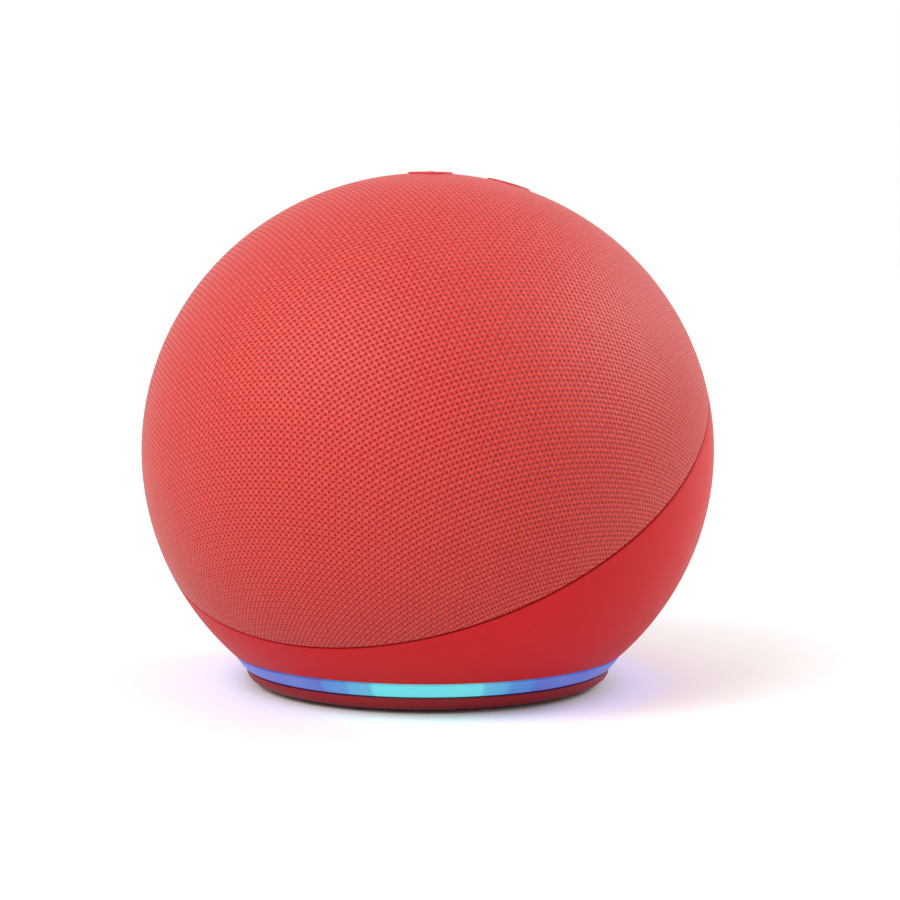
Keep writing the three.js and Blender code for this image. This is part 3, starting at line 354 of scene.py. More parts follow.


# %% [markdown]
# ## The fabric's finish
# The dome wears a plain-woven acoustic cloth. Its threads cross at about a right angle and lie near
# 45 degrees to the dome's own left and right, so that the cloth can stretch over the curve. Between
# the threads are small holes that let the sound out, and their dark colour is painted shade. The weave
# reads the piece's UV map, which is measured in thread pitches: whole numbers are thread centres, and
# halves are the gaps.
# Each thread goes over and under in turn, which is a checkerboard of raised and sunken crossings.
# The raised crossings are painted a lighter red, as painted light, and the sunken ones a darker red,
# as painted shade. A fine fibre noise mixes in some random tone.

# %% Fabric finish
def fabric_finish():
    n = Nodes("woven_acoustic_cloth")
    uv = n.coordinates.outputs["UV"]
    wander = n.noise(uv, 0.9, 2.0)
    drift = n.span(wander, 0.0, 1.0, -0.16, 0.16)
    parts = n.node("SeparateXYZ", {0: uv})
    across = n.math("ADD", parts.outputs["X"], drift)
    along = n.math("ADD", parts.outputs["Y"], drift)
    wave_a = n.math("COSINE", n.math("MULTIPLY", across, math.tau))
    wave_b = n.math("COSINE", n.math("MULTIPLY", along, math.tau))
    half_a = n.math("COSINE", n.math("MULTIPLY", across, math.pi))
    half_b = n.math("COSINE", n.math("MULTIPLY", along, math.pi))
    over = n.math("MULTIPLY", half_a, half_b)
    thread = n.math("MAXIMUM", wave_a, wave_b)
    hole = n.span(n.math("ADD", wave_a, wave_b), -1.7, -0.25, 1.0, 0.0)
    fibre = n.noise(uv, 9.0, 4.0, 0.7)
    height = n.math("MULTIPLY_ADD", thread, 0.35, n.math("MULTIPLY", over, 0.12))
    height = n.math("SUBTRACT", height, hole)
    height = n.math("MULTIPLY_ADD", fibre, 0.25, height)
    # Painted light and painted shade: the first colour is the cloth's red lightened for the raised
    # crossings, and the second is the red darkened for the sunken ones. The fibre noise adds random
    # tone.
    painted_light_thread = colour(0.53, 0.044, 0.034)
    painted_shade_thread = colour(0.44, 0.022, 0.019)
    # Painted shade for the holes between the threads: a dark red that stands in for the shade behind
    # them.
    painted_hole_shade = colour(0.17, 0.004, 0.005)
    body = n.mix(n.span(n.math("MULTIPLY_ADD", over, 0.4, fibre), 0.1, 1.0, 0.0, 1.0), painted_shade_thread, painted_light_thread)
    patch = n.noise(uv, 0.12, 3.0)
    body = n.mix(n.span(patch, 0.3, 0.7, 0.0, 0.2), body, colour(0.53, 0.050, 0.030))
    base = n.mix(n.math("MULTIPLY", hole, 0.92), body, painted_hole_shade)
    normal = n.bump(height, 0.22 * MM, 0.85)
    return n.set(
        base=base,
        roughness=n.span(fibre, 0.2, 0.8, 0.4, 0.5),
        normal=normal,
        specular=0.24,
    )


cloth = fabric_finish()

# %% [markdown]
# ## Moulded plastics
# The rear shell and the base are satin plastic from a spark-eroded mould, which leaves a fine even
# grain. One function makes every plastic: only the colour, the grain and the gloss differ.

# %% Plastic finishes
def plastic(name, base, roughness, grain=0.25, depth=0.012, specular=0.5):
    n = Nodes(name)
    where = n.coordinates.outputs["Object"]
    fine = n.noise(where, 1 / (grain * MM), 2.0, 0.6)
    broad = n.noise(where, 45.0, 3.0, 0.5)
    darker = colour(*(c * 0.95 for c in base))
    lighter = colour(*(min(1.0, c * 1.04) for c in base))
    return n.set(
        base=n.mix(n.span(broad, 0.3, 0.7, 0.0, 1.0), darker, lighter),
        roughness=n.span(broad, 0.3, 0.7, roughness - 0.04, roughness + 0.04),
        normal=n.bump(fine, depth * MM, 0.8),
        specular=specular,
    )


shell_plastic = plastic("satin_red_plastic", (0.44, 0.008, 0.010), 0.5, specular=0.12)
# The base's red is about half as bright as the shell's: that darkening is painted shade under the ball.
base_plastic_with_painted_shade = plastic("satin_red_base_plastic_painted_shade", (0.22, 0.009, 0.013), 0.5, specular=0.15)
button_plastic = plastic("soft_red_button_plastic", (0.40, 0.012, 0.015), 0.55, grain=0.2, specular=0.25)
black_plastic = plastic("moulded_black_plastic", (0.014, 0.014, 0.016), 0.5, grain=0.3)
foot_rubber = plastic("dark_red_rubber", (0.16, 0.012, 0.016), 0.82, grain=0.5, depth=0.03)
rubber = plastic("black_butyl_rubber", (0.012, 0.012, 0.013), 0.7, grain=0.6, depth=0.02)
foam = plastic("closed_cell_foam", (0.02, 0.016, 0.018), 0.95, grain=0.4, depth=0.08)
pad_silicone = plastic("silicone_pad", (0.26, 0.34, 0.45), 0.85, grain=0.5, depth=0.03)
ferrite = plastic("sintered_ferrite", (0.03, 0.03, 0.035), 0.62, grain=0.5, depth=0.03)
cone_paper = plastic("pressed_paper_pulp", (0.02, 0.02, 0.022), 0.9, grain=0.7, depth=0.09)

# %% [markdown]
# ## Metals, boards and cloths for the parts inside
# The inside is never seen whole, but each part still gets its own finish: plated steel with a brushed
# grain, copper windings, solder mask with tracks, woven spider cloth and amber ribbon film.

# %% Inside finishes
def metal(name, base, roughness, stretch=(1.0, 1.0, 30.0)):
    n = Nodes(name)
    place = n.node("Mapping", {"Vector": n.coordinates.outputs["Object"], "Scale": stretch})
    grain = n.noise(place.outputs[0], 260.0, 4.0, 0.6)
    cloud = n.noise(n.coordinates.outputs["Object"], 60.0, 2.0)
    darker = colour(*(c * 0.8 for c in base))
    return n.set(
        base=n.mix(n.span(cloud, 0.3, 0.7, 0.0, 1.0), darker, colour(*base)),
        metallic=1.0,
        roughness=n.span(grain, 0.3, 0.7, roughness - 0.08, roughness + 0.1),
        normal=n.bump(grain, 0.01 * MM, 0.6),
    )


def banded(name, light, dark, pitch, metallic=0.0, roughness=0.5, direction="Z"):
    """Even bands: the turns of a winding, the threads of a cloth or the tracks of a ribbon."""
    n = Nodes(name)
    where = n.coordinates.outputs["Object"]
    wave = n.node(
        "TexWave",
        {"Vector": where, "Scale": 0.314 / pitch, "Distortion": 0.4, "Detail": 1.0},
        bands_direction=direction,
    ).outputs["Fac"]
    return n.set(
        base=n.mix(wave, colour(*dark), colour(*light)),
        metallic=metallic,
        roughness=n.span(n.noise(where, 400.0), 0.3, 0.7, roughness - 0.08, roughness + 0.08),
        normal=n.bump(wave, 0.05 * MM, 0.7),
    )


def solder_mask():
    n = Nodes("green_solder_mask")
    where = n.coordinates.outputs["Object"]
    cells = n.node("TexVoronoi", {"Vector": where, "Scale": 420.0}, distance="MANHATTAN")
    tracks = n.node("TexBrick", {"Vector": where, "Scale": 260.0, "Mortar Size": 0.03})
    pads = n.span(cells.outputs["Distance"], 0.10, 0.13, 1.0, 0.0)
    board = n.mix(tracks.outputs["Fac"], colour(0.008, 0.05, 0.026), colour(0.012, 0.09, 0.045))
    return n.set(
        base=n.mix(pads, board, colour(0.55, 0.5, 0.38)),
        metallic=n.math("MULTIPLY", pads, 0.8),
        roughness=n.span(n.noise(where, 300.0), 0.3, 0.7, 0.3, 0.42),
        normal=n.bump(tracks.outputs["Fac"], 0.03 * MM, 0.6),
    )


steel = metal("zinc_plated_steel", (0.55, 0.56, 0.58), 0.34)
aluminium = metal("bead_blasted_aluminium", (0.6, 0.61, 0.62), 0.45, stretch=(1.0, 1.0, 1.0))
copper = banded("copper_winding", (0.8, 0.36, 0.16), (0.32, 0.1, 0.04), 0.3 * MM, 1.0, 0.35)
spider_cloth = banded("stiffened_cotton", (0.5, 0.33, 0.09), (0.3, 0.18, 0.04), 0.5 * MM, 0, 0.9, "X")
silk = banded("coated_silk", (0.035, 0.035, 0.042), (0.012, 0.012, 0.016), 0.3 * MM, 0, 0.6, "Y")
ribbon_film = banded("amber_ribbon_film", (0.62, 0.26, 0.03), (0.3, 0.1, 0.02), 1.0 * MM, 0, 0.4, "X")
board = solder_mask()

# %% [markdown]
# ## The light ring's finish
# The ring is a frosted light guide over twelve LEDs. The LEDs that face the speaker's listener shine
# cyan, their neighbours pass through teal to mid blue, and the others glow deep blue. The pattern
# depends only on the angle round the vertical axis, so it comes from the Object coordinates.

# %% Light ring finish
LISTENER_AZIMUTH = VIEW_AZIMUTH
ZONES = [
    (0.0, (0.098, 0.680, 0.752)),
    (15.5, (0.098, 0.680, 0.752)),
    (17.0, (0.062, 0.402, 0.645)),
    (23.0, (0.060, 0.360, 0.640)),
    (24.5, (0.045, 0.225, 0.610)),
    (31.0, (0.040, 0.190, 0.580)),
    (33.0, (0.055, 0.095, 0.500)),
]


def ring_finish():
    n = Nodes("frosted_light_guide")
    parts = n.node("SeparateXYZ", {0: n.coordinates.outputs["Object"]})
    ahead = n.math("MULTIPLY", parts.outputs["Y"], -1.0)
    azimuth = n.math("ARCTAN2", parts.outputs["X"], ahead)
    away = n.math("ABSOLUTE", n.math("SUBTRACT", azimuth, LISTENER_AZIMUTH))
    ramp = n.node("ValToRGB", {"Fac": n.math("DIVIDE", away, math.pi)})
    stops = ramp.color_ramp.elements
    stops.remove(stops[-1])
    stops[0].color = colour(*ZONES[0][1])
    for angle, light in ZONES[1:]:
        stop = stops.new(angle / 180)
        stop.color = colour(*light)
    grain = n.noise(n.coordinates.outputs["Object"], 1 / (0.4 * MM), 2.0)
    broad = n.noise(n.coordinates.outputs["Object"], 90.0, 2.0)
    glow = n.mix(n.span(broad, 0.3, 0.7, 0.0, 0.12), ramp.outputs["Color"], colour(0.5, 0.7, 0.9))
    return n.set(
        base=n.mix(0.85, ramp.outputs["Color"], colour(0.02, 0.03, 0.04)),
        roughness=n.span(broad, 0.3, 0.7, 0.38, 0.5),
        normal=n.bump(grain, 0.01 * MM, 0.6),
        emission=glow,
        emission_strength=0.82,
    )


ring_light = ring_finish()

# %% [markdown]
# ## Finishes for the CAD parts that stay
# The record names a material slot for every part. A table from slots to finishes dresses them all in
# one loop. The parts that the next steps replace are dressed too, because that does no harm.

# %% Dress the CAD parts
FINISHES = {
    "fabric": cloth,
    "red_plastic": shell_plastic,
    "button_plastic": button_plastic,
    "foot_rubber": foot_rubber,
    "black_plastic": black_plastic,
    "foam": foam,
    "circuit_board": board,
    "steel": steel,
    "aluminium": aluminium,
    "ferrite": ferrite,
    "cone_paper": cone_paper,
    "surround_rubber": rubber,
    "copper": copper,
    "spider_cloth": spider_cloth,
    "silk": silk,
    "thermal_pad": pad_silicone,
    "ribbon_film": ribbon_film,
    "light_guide": ring_light,
}
for part in frame["record"]["subparts"]:
    mesh = frame["nodes"][part["node"]].data
    mesh.materials.clear()
    mesh.materials.append(FINISHES[part["material_slot"]])

# %% [markdown]
# ## The ball's own space
# The fabric and the shell meet on a tilted plane, and the ball is not quite round. Both are easy in a
# space where the ball is a unit sphere and the seam's normal points up: a turned shape there is still
# a good ellipsoid after one matrix has turned, stretched and moved it. Heights in that space are
# distances from the seam's plane direction, so a flat seam stays exactly flat.

# %% Ball space
stretched = Vector((0, seam_normal.y * RADIUS, seam_normal.z * HALF_HEIGHT))
UNIT = stretched.length
ball_space = (
    Matrix.Translation(CENTRE)
    @ Matrix.Diagonal((RADIUS, RADIUS, HALF_HEIGHT, 1))
    @ stretched.to_track_quat("Z", "Y").to_matrix().to_4x4()
)


def at(inset, from_seam):
    """A profile point of ball space: an inset from the ball's skin, and a distance past the seam."""
    height = (SEAM_OFFSET + from_seam) / UNIT
    share = 1 - inset / RADIUS
    return (math.sqrt(share * share - height * height), height)


def arc(inset, start, end, steps):
    """Points on a sphere of ball space, from one angle off the pole to another."""
    share = 1 - inset / RADIUS
    angles = [start + (end - start) * k / steps for k in range(steps + 1)]
    return [(share * math.sin(angle), share * math.cos(angle)) for angle in angles]


seam_angle = math.acos(at(0, SEAM_GAP / 2)[1])
print("the seam lies", round(math.degrees(seam_angle), 1), "degrees off the dome's pole")

# %% [markdown]
# ## The buttons' place
# Four buttons stand in a diamond on top of the ball, a little behind its middle. They move along one
# tilted axis, which is the ball's normal at the diamond's centre. A matrix holds that frame.

# %% Button frame
BUTTONS_BACK = 15.6 * MM
BUTTON_CIRCLE = 14.4 * MM
BUTTON_RADIUS = 5.65 * MM
BUTTON_FIT = 0.3 * MM
BUTTON_PROUD = 0.4 * MM
BUTTON_ANGLES = {"volume_up": 0, "microphone_off": 90, "volume_down": 180, "action": 270}

buttons_height = ellipsoid_height(0, BUTTONS_BACK)
button_tilt = math.atan2(
    BUTTONS_BACK / RADIUS**2, (buttons_height - CENTRE.z) / HALF_HEIGHT**2
)
button_frame = Matrix.Translation((0, BUTTONS_BACK, buttons_height)) @ Matrix.Rotation(
    -button_tilt, 4, "X"
)


def button_place(name):
    """The frame of one button: the shared frame, moved to the button's place on the circle."""
    angle = math.radians(BUTTON_ANGLES[name])
    shift = Vector((math.cos(angle), math.sin(angle), 0)) * BUTTON_CIRCLE
    return button_frame @ Matrix.Translation(shift)


print("the buttons tilt", round(math.degrees(button_tilt), 1), "degrees")

# %% [markdown]
# ## The fabric cover
# The real cover is one disc of stretch cloth, pulled over the grille dome and tucked in at the seam.
# Here it's a thin turned skin whose edge rolls over, because the cloth is wrapped round the grille's
# rim and isn't cut square. Four round holes let the buttons through, and their rims are eased too.
# The weave's UV map is a flat disc: distance from the pole along the surface, and direction round it.
# That is how a stretched disc of cloth lies, so the thread lines come out straight and evenly spaced.

# %% Fabric cover
ROLL = FABRIC_THICKNESS / 2 / RADIUS
FABRIC_STEPS = 144
FABRIC_RINGS = 48
ROLL_POINTS = 8
HOLE_STEPS = 64
HOLE_DEPTH = 24 * MM
HOLE_EASE = 0.25 * MM

rim_angle = seam_angle - ROLL
rolled_edge = []
for k in range(1, ROLL_POINTS):
    turn = math.pi * k / ROLL_POINTS
    share = 1 - ROLL + ROLL * math.cos(turn)
    angle = rim_angle + ROLL * math.sin(turn)
    rolled_edge.append((share * math.sin(angle), share * math.cos(angle)))
outline = arc(0, 0, rim_angle, FABRIC_RINGS) + rolled_edge
outline += arc(FABRIC_THICKNESS, rim_angle, 0, FABRIC_RINGS)
fabric = piece("fabric_dome", turned(outline, FABRIC_STEPS, ball_space), cloth)

holes = bmesh.new()
for name in BUTTON_ANGLES:
    bmesh.ops.create_cone(
        holes,
        cap_ends=True,
        segments=HOLE_STEPS,
        radius1=BUTTON_RADIUS + BUTTON_FIT,
        radius2=BUTTON_RADIUS + BUTTON_FIT,
        depth=HOLE_DEPTH,
        matrix=button_place(name),
    )
combine(fabric, "DIFFERENCE", holes)
to_button_frame = button_frame.inverted()
soften(
    fabric,
    lambda middle: (to_button_frame @ middle).length < 2 * BUTTON_CIRCLE,
    HOLE_EASE,
)

# %% [markdown]
# ## The weave's map
# One thread pitch is 1.05 degrees of the dome, or about 1.3 mm of cloth. The two sets of threads
# don't cross quite at right angles, because the stretch over the dome has pulled them a little askew.

# %% Weave map
THREAD_PITCH = 1.05  # degrees of the dome
THREAD_NORMALS = [math.radians(-47), math.radians(51.5)]

dome_up = Vector((0, math.sin(SEAM_TILT), math.cos(SEAM_TILT)))
weave = fabric.data.uv_layers.new(name="weave")
spots = []
for vertex in fabric.data.vertices:
    from_centre = vertex.co - CENTRE
    way = Vector((from_centre.x / RADIUS, from_centre.y / RADIUS, from_centre.z / HALF_HEIGHT))
    way.normalize()
    reach = math.degrees(math.acos(max(-1.0, min(1.0, way.dot(seam_normal)))))
    across = Vector((way.x, way.dot(dome_up)))
    if across.length > 0:
        across.normalize()
    flat = across * reach
    spots.append([flat.dot(Vector((math.cos(a), math.sin(a)))) / THREAD_PITCH for a in THREAD_NORMALS])
for loop in fabric.data.loops:
    weave.data[loop.index].uv = spots[loop.vertex_index]
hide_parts("fabric_cover")

# %% [markdown]
# ## The rear shell
# The shell is one moulded skin from the tilted seam down to the level lower edge. It isn't a turned
# shape, since its two edges aren't parallel. So a circle is drawn at each edge, the two are bridged,
# the bridge is subdivided, and every point is pushed out to the ellipsoid. The rims are extruded
# inwards from the same two circles, with a step at the seam where a foam gasket lies. The inner wall
# is then bridged in the same way as the outer one.

# %% Rear shell
SHELL_STEPS = 144
SHELL_ROWS = 36
quarter_on = ball_space @ Vector((0, 1, 0)) - CENTRE
circle_turn = math.atan2(quarter_on.y, quarter_on.x) - math.pi / 2
REBATE_INSET = 1.3 * MM
REBATE_DEPTH = 1.2 * MM
SHELL_EASE = 0.35 * MM
SKIN_TOLERANCE = 0.3 * MM


def level_radius(inset):
    """The radius of the ball, or of a wall inside its skin, at the shell's lower edge."""
    share = (shell_bottom - CENTRE.z) / (HALF_HEIGHT - inset)
    return (RADIUS - inset) * math.sqrt(1 - share * share)


def between_rims(start, end):
    """The matrix that takes one circle of ball space, an (inset, distance past the seam), to another."""
    radius, height = at(*start)
    new_radius, new_height = at(*end)
    scale = new_radius / radius
    return (
        ball_space
        @ Matrix.Translation((0, 0, new_height))
        @ Matrix.Diagonal((scale, scale, 1, 1))
        @ Matrix.Translation((0, 0, -height))
        @ ball_space.inverted()
    )


def ring_edges(verts):
    """The edges that join the points of one circle."""
    own = set(verts)
    return [e for e in {e for v in verts for e in v.link_edges} if own >= set(e.verts)]


def rim(bm, verts, place):
    """Extrudes a circle's edges and moves the new circle by a matrix."""
    made = bmesh.ops.extrude_edge_only(bm, edges=ring_edges(verts))
    fresh = [v for v in made["geom"] if isinstance(v, bmesh.types.BMVert)]
    bmesh.ops.transform(bm, matrix=place, verts=fresh)
    return fresh


def wall(bm, upper, lower, inset):
    """Bridges two circles and pushes the rows between them out to the ellipsoid."""
    bridged = bmesh.ops.bridge_loops(bm, edges=ring_edges(upper) + ring_edges(lower))
    ends = set(upper) | set(lower)
    across = {e for f in bridged["faces"] for e in f.edges}
    across = [e for e in across if len(set(e.verts) & set(upper)) == 1]
    made = bmesh.ops.subdivide_edgering(bm, edges=across, interp_mode="LINEAR", cuts=SHELL_ROWS)
    for vert in {v for f in made["faces"] for v in f.verts} - ends:
        way = vert.co - CENTRE
        size = Vector((way.x, way.y, 0)).length / (RADIUS - inset)
        share = math.hypot(size, way.z / (HALF_HEIGHT - inset))
        vert.co = CENTRE + way / share


bm = bmesh.new()
seam_radius, seam_height = at(0, -SEAM_GAP / 2)
outer_top = bmesh.ops.create_circle(
    bm,
    segments=SHELL_STEPS,
    radius=seam_radius,
    matrix=ball_space @ Matrix.Translation((0, 0, seam_height)),
)["verts"]
outer_low = bmesh.ops.create_circle(
    bm,
    segments=SHELL_STEPS,
    radius=level_radius(0),
    matrix=Matrix.Translation((0, 0, shell_bottom)) @ Matrix.Rotation(circle_turn, 4, "Z"),
)["verts"]
rims = [(0, -SEAM_GAP / 2), (REBATE_INSET, -SEAM_GAP / 2), (REBATE_INSET, -REBATE_DEPTH)]
rims.append((SHELL_WALL, -REBATE_DEPTH))
inner_top = outer_top
for start, end in zip(rims, rims[1:]):
    inner_top = rim(bm, inner_top, between_rims(start, end))
shrink = level_radius(SHELL_WALL) / level_radius(0)
inner_low = rim(bm, outer_low, Matrix.Diagonal((shrink, shrink, 1, 1)))
wall(bm, outer_top, outer_low, 0)
wall(bm, inner_top, inner_low, SHELL_WALL)
shell = piece("rear_shell_skin", bm, shell_plastic)
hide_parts("rear_shell")


def on_the_skin(middle):
    """Whether a point is on the ball's outer surface."""
    way = middle - CENTRE
    share = math.sqrt((way.x**2 + way.y**2) / RADIUS**2 + way.z**2 / HALF_HEIGHT**2)
    return share > 1 - SKIN_TOLERANCE / RADIUS


soften(shell, on_the_skin, SHELL_EASE, 3)

# %% [markdown]
# ## The sockets' recesses
# Power and sound come in at the back, low down. Each plug goes into a short tube through the shell,
# so the tube is joined to the inside of the skin, and its bore is cut through both. The rim where the
# bore breaks the curved skin is eased, as on any moulding that a plug has to find.

# %% Socket recesses
JACK_HEIGHT = 19.5 * MM
JACK_X = 11 * MM
PLUG_RECESS = 8.4 * MM
RECESS_WALL = 1.8 * MM
TUBE_START = -1 * MM
TUBE_SETBACK = 0.6 * MM
BORE_START = -6 * MM
BORE_END = 30 * MM
RECESS_EASE = 0.4 * MM
RECESSES = {"power": (-JACK_X, 5.5 * MM), "audio": (JACK_X, 4.2 * MM)}
jack_face = radius_at(JACK_HEIGHT) - PLUG_RECESS


def along_y(x):
    """A frame whose Z runs straight back, with its origin on the sockets' face."""
    return Matrix.Translation((x, jack_face, JACK_HEIGHT)) @ Matrix.Rotation(-math.pi / 2, 4, "X")


def disc_solid(radius, low, high, place, segments=64):
    """A cylinder between two heights of a frame."""
    bm = bmesh.new()
    middle = Matrix.Translation((0, 0, (low + high) / 2))
    bmesh.ops.create_cone(
        bm,
        cap_ends=True,
        segments=segments,
        radius1=radius,
        radius2=radius,
        depth=high - low,
        matrix=place @ middle,
    )
    return bm


def at_a_recess(middle):
    """Whether a point is on the skin at the back, near the two recesses."""
    return on_the_skin(middle) and middle.y > 0 and abs(middle.x) < 2 * JACK_X


for x, recess in RECESSES.values():
    low_radius = radius_at(JACK_HEIGHT - recess - RECESS_WALL)
    edge = math.sqrt(low_radius**2 - (abs(x) + recess + RECESS_WALL) ** 2)
    reach = edge - jack_face - TUBE_SETBACK
    combine(shell, "UNION", disc_solid(recess + RECESS_WALL, TUBE_START, reach, along_y(x)))
    combine(shell, "DIFFERENCE", disc_solid(recess, BORE_START, BORE_END, along_y(x)))
soften(shell, at_a_recess, RECESS_EASE, 3)

# %% [markdown]
# ## The foam gasket in the seam
# A soft ring closes the joint between the grille and the shell, so that the shell can't buzz. Only a
# dark line of it shows. It is a turned ring with round edges, in ball space.

# %% Seam gasket
GASKET_OUTER_INSET = 1.6 * MM
GASKET_INNER_INSET = 2.25 * MM
GASKET_DEPTH = 1.1 * MM
GASKET_EASE = 0.15 * MM
gasket_corners = [
    at(GASKET_INNER_INSET, -GASKET_DEPTH),
    at(GASKET_OUTER_INSET, -GASKET_DEPTH),
    at(GASKET_OUTER_INSET, -SEAM_GAP / 2),
    at(GASKET_INNER_INSET, -SEAM_GAP / 2),
]
gasket_outline = rounded(gasket_corners, GASKET_EASE / RADIUS)
gasket = piece("seam_foam", turned(gasket_outline, SHELL_STEPS, ball_space), foam)
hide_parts("seam_gasket")

# %% [markdown]
# ## The light ring
# The ring is a plain turned part on the vertical axis. It carries on the ball's curve and stands out a
# little at its lower edge. Its outline has only its own corners, and every corner is eased.

# %% Light ring
TURN_STEPS = 128
RING_FLARE = 1.3 * MM
RING_WALL = 2.6 * MM
RING_STEP = 0.5 * MM
RING_SWELL = 0.6
RING_CHAMFER = 1.2 * MM
RING_CHAMFER_HEIGHT = 0.6 * MM
RING_EASE = 0.5 * MM
ring_bottom = ring_low[2]
ring_top = ring_high[2]
ring_middle = (ring_bottom + ring_top) / 2
ring_inner = radius_at(ring_bottom) - RING_WALL - RING_STEP
ring_corners = [
    (radius_at(ring_bottom) + RING_FLARE, ring_bottom),
    (radius_at(ring_middle) + RING_SWELL * RING_FLARE, ring_middle),
    (radius_at(ring_top), ring_top),
    (ring_inner, ring_top),
    (ring_inner, ring_bottom + RING_CHAMFER_HEIGHT),
    (ring_inner + RING_CHAMFER, ring_bottom),
]
ring_outline = rounded(ring_corners, RING_EASE)
ring = piece("light_guide_ring", turned(ring_outline, TURN_STEPS), ring_light)
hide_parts("light_ring")

# %% [markdown]
# ## The base cover
# The base is a shallow bowl under the ring. Its red is darker than the shell's, and that darkening is
# painted shade. Its side is a quarter wave, so it swells out quickly from the table and meets the ring
# almost upright. A groove in its underside holds the rubber foot. A turned outline is enough, because
# all of it is round.

# %% Base cover
FOOT_RADIUS = 38.8 * MM
FOOT_WIDTH = 8.8 * MM
FOOT_HEIGHT = 1.5 * MM
FOOT_GAP = 0.3 * MM
FOOT_ROOF_GAP = 0.1 * MM
BASE_WALL = 1.8 * MM
BASE_SETBACK = 0.4 * MM
BASE_BORDER = 1 * MM
BASE_LIFT = 0.5 * MM
BASE_UNDERSIDE = 0.9 * MM
BASE_LIP = 0.6 * MM
BASE_BLEND = 0.9
BULGE_POINTS = 8
base_rim = radius_at(ring_bottom) + RING_FLARE - BASE_SETBACK
foot_inner = FOOT_RADIUS - FOOT_WIDTH
foot_well = FOOT_HEIGHT + FOOT_ROOF_GAP
base_floor = foot_well + BASE_WALL
base_edge = FOOT_RADIUS + BASE_BORDER
base_low = BASE_LIFT
plug_edge = foot_inner - FOOT_GAP
groove_edge = FOOT_RADIUS + FOOT_GAP
rim_inner = ring_inner + BASE_LIP
bulge = []
for k in range(BULGE_POINTS + 1):
    turn = math.radians(90) * k / BULGE_POINTS
    bulge.append(
        (
            base_edge + (base_rim - base_edge) * math.sin(turn) ** BASE_BLEND,
            base_low + (base_top - BASE_LIP - base_low) * (1 - math.cos(turn)),
        )
    )
plug_middle = (0, BASE_UNDERSIDE)
plug_corner = (plug_edge, BASE_UNDERSIDE)
base_outline = [
    plug_middle,
    *eased(plug_middle, plug_corner, (plug_edge, foot_well), 0.2 * MM),
    (plug_edge, foot_well),
    (groove_edge, foot_well),
    (groove_edge, base_low),
    *bulge,
    *eased(bulge[-1], (base_rim, base_top), (rim_inner, base_top), 0.4 * MM),
    (rim_inner, base_top),
    (ring_inner - 0.4 * MM, base_floor),
    (0, base_floor),
]
base = piece("base_bowl", turned(base_outline, TURN_STEPS), base_plastic_with_painted_shade)
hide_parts("base_cover")

# %% [markdown]
# ## The rubber foot
# A flat rubber ring keeps the speaker from sliding. It sits in the base's groove, and it is
# the only piece that touches the table. Its four corners are eased, as on any moulded rubber.

# %% Foot ring
FOOT_EASE = 0.35 * MM
foot_corners = [
    (foot_inner, 0),
    (FOOT_RADIUS, 0),
    (FOOT_RADIUS, FOOT_HEIGHT),
    (foot_inner, FOOT_HEIGHT),
]
foot_outline = rounded(foot_corners, FOOT_EASE)
foot = piece("rubber_foot", turned(foot_outline, TURN_STEPS), foot_rubber)
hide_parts("foot_ring")

# %% [markdown]
# ## The four buttons
# Each cap is a turned disc with a wide foot that the carrier holds down. Its top isn't flat: it
# follows the ball and stands just proud of it, so a thumb can find it. So the disc's upper points are
# moved along the button's own axis by as much as the ball falls away there.

# %% Button caps
CAP_FOOT_RADIUS = BUTTON_RADIUS + 1.25 * MM
STUB_RADIUS = 1.6 * MM
CAP_STEPS = 64
CAP_DISH = 0.12 * MM
CAP_SIDE = 2 * MM
CAP_EASE = 0.6 * MM
CAP_BENT_DEPTH = 1.5 * MM
CAP_FOOT_EASE = 0.2 * MM
FOOT_MARGIN = 0.5 * MM
SEARCH_REACH = 10 * MM
SEARCH_HALVINGS = 30


def follow_ball(place, verts, proud):
    """Moves points along a button's axis, so that height 0 becomes the surface that stands proud."""
    axis = (place.to_3x3() @ Vector((0, 0, 1))).normalized()
    for vert in verts:
        flat = place @ Vector((vert.co.x, vert.co.y, 0))
        low, high = -SEARCH_REACH, SEARCH_REACH
        for _ in range(SEARCH_HALVINGS):
            middle = (low + high) / 2
            spot = flat + axis * middle
            if spot.z > ellipsoid_height(spot.x, spot.y, proud):
                high = middle
            else:
                low = middle
        vert.co.z += high


for name in BUTTON_ANGLES:
    place = button_place(name)
    cad_points = [place.inverted() @ v.co for v in frame["nodes"]["button_" + name].data.vertices]
    foot_heights = [p.z for p in cad_points if math.hypot(p.x, p.y) > BUTTON_RADIUS + FOOT_MARGIN]
    foot_low = min(foot_heights)
    foot_high = max(foot_heights)
    stub_low = min(p.z for p in cad_points)
    outline = [(0, -CAP_DISH)]
    outline += [(0.35 * BUTTON_RADIUS, -0.8 * CAP_DISH), (0.7 * BUTTON_RADIUS, -0.25 * CAP_DISH)]
    outline += eased(outline[-1], (BUTTON_RADIUS, 0), (BUTTON_RADIUS, -CAP_SIDE), CAP_EASE, 6)
    outline += [
        (BUTTON_RADIUS, foot_high),
        (CAP_FOOT_RADIUS - CAP_FOOT_EASE, foot_high),
        (CAP_FOOT_RADIUS, foot_high - CAP_FOOT_EASE),
        (CAP_FOOT_RADIUS, foot_low),
        (STUB_RADIUS, foot_low),
        (STUB_RADIUS, stub_low),
        (0, stub_low),
    ]
    bm = turned(outline, CAP_STEPS)
    upper = [v for v in bm.verts if v.co.z > -CAP_BENT_DEPTH]
    follow_ball(place, upper, BUTTON_PROUD)
    bmesh.ops.transform(bm, matrix=place, verts=bm.verts)
    cap = piece("cap_" + name, bm, button_plastic, name + "_button")
    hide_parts("button_" + name)

# %% [markdown]
# ## The signs on the buttons
# The buttons need signs that a thumb can feel: a plus, a minus, a dot for the action button and a
# crossed-out microphone. They are plain, generic shapes made from boxes and discs, a tenth of a
# millimetre high, and they ride on the same bodies as their caps.

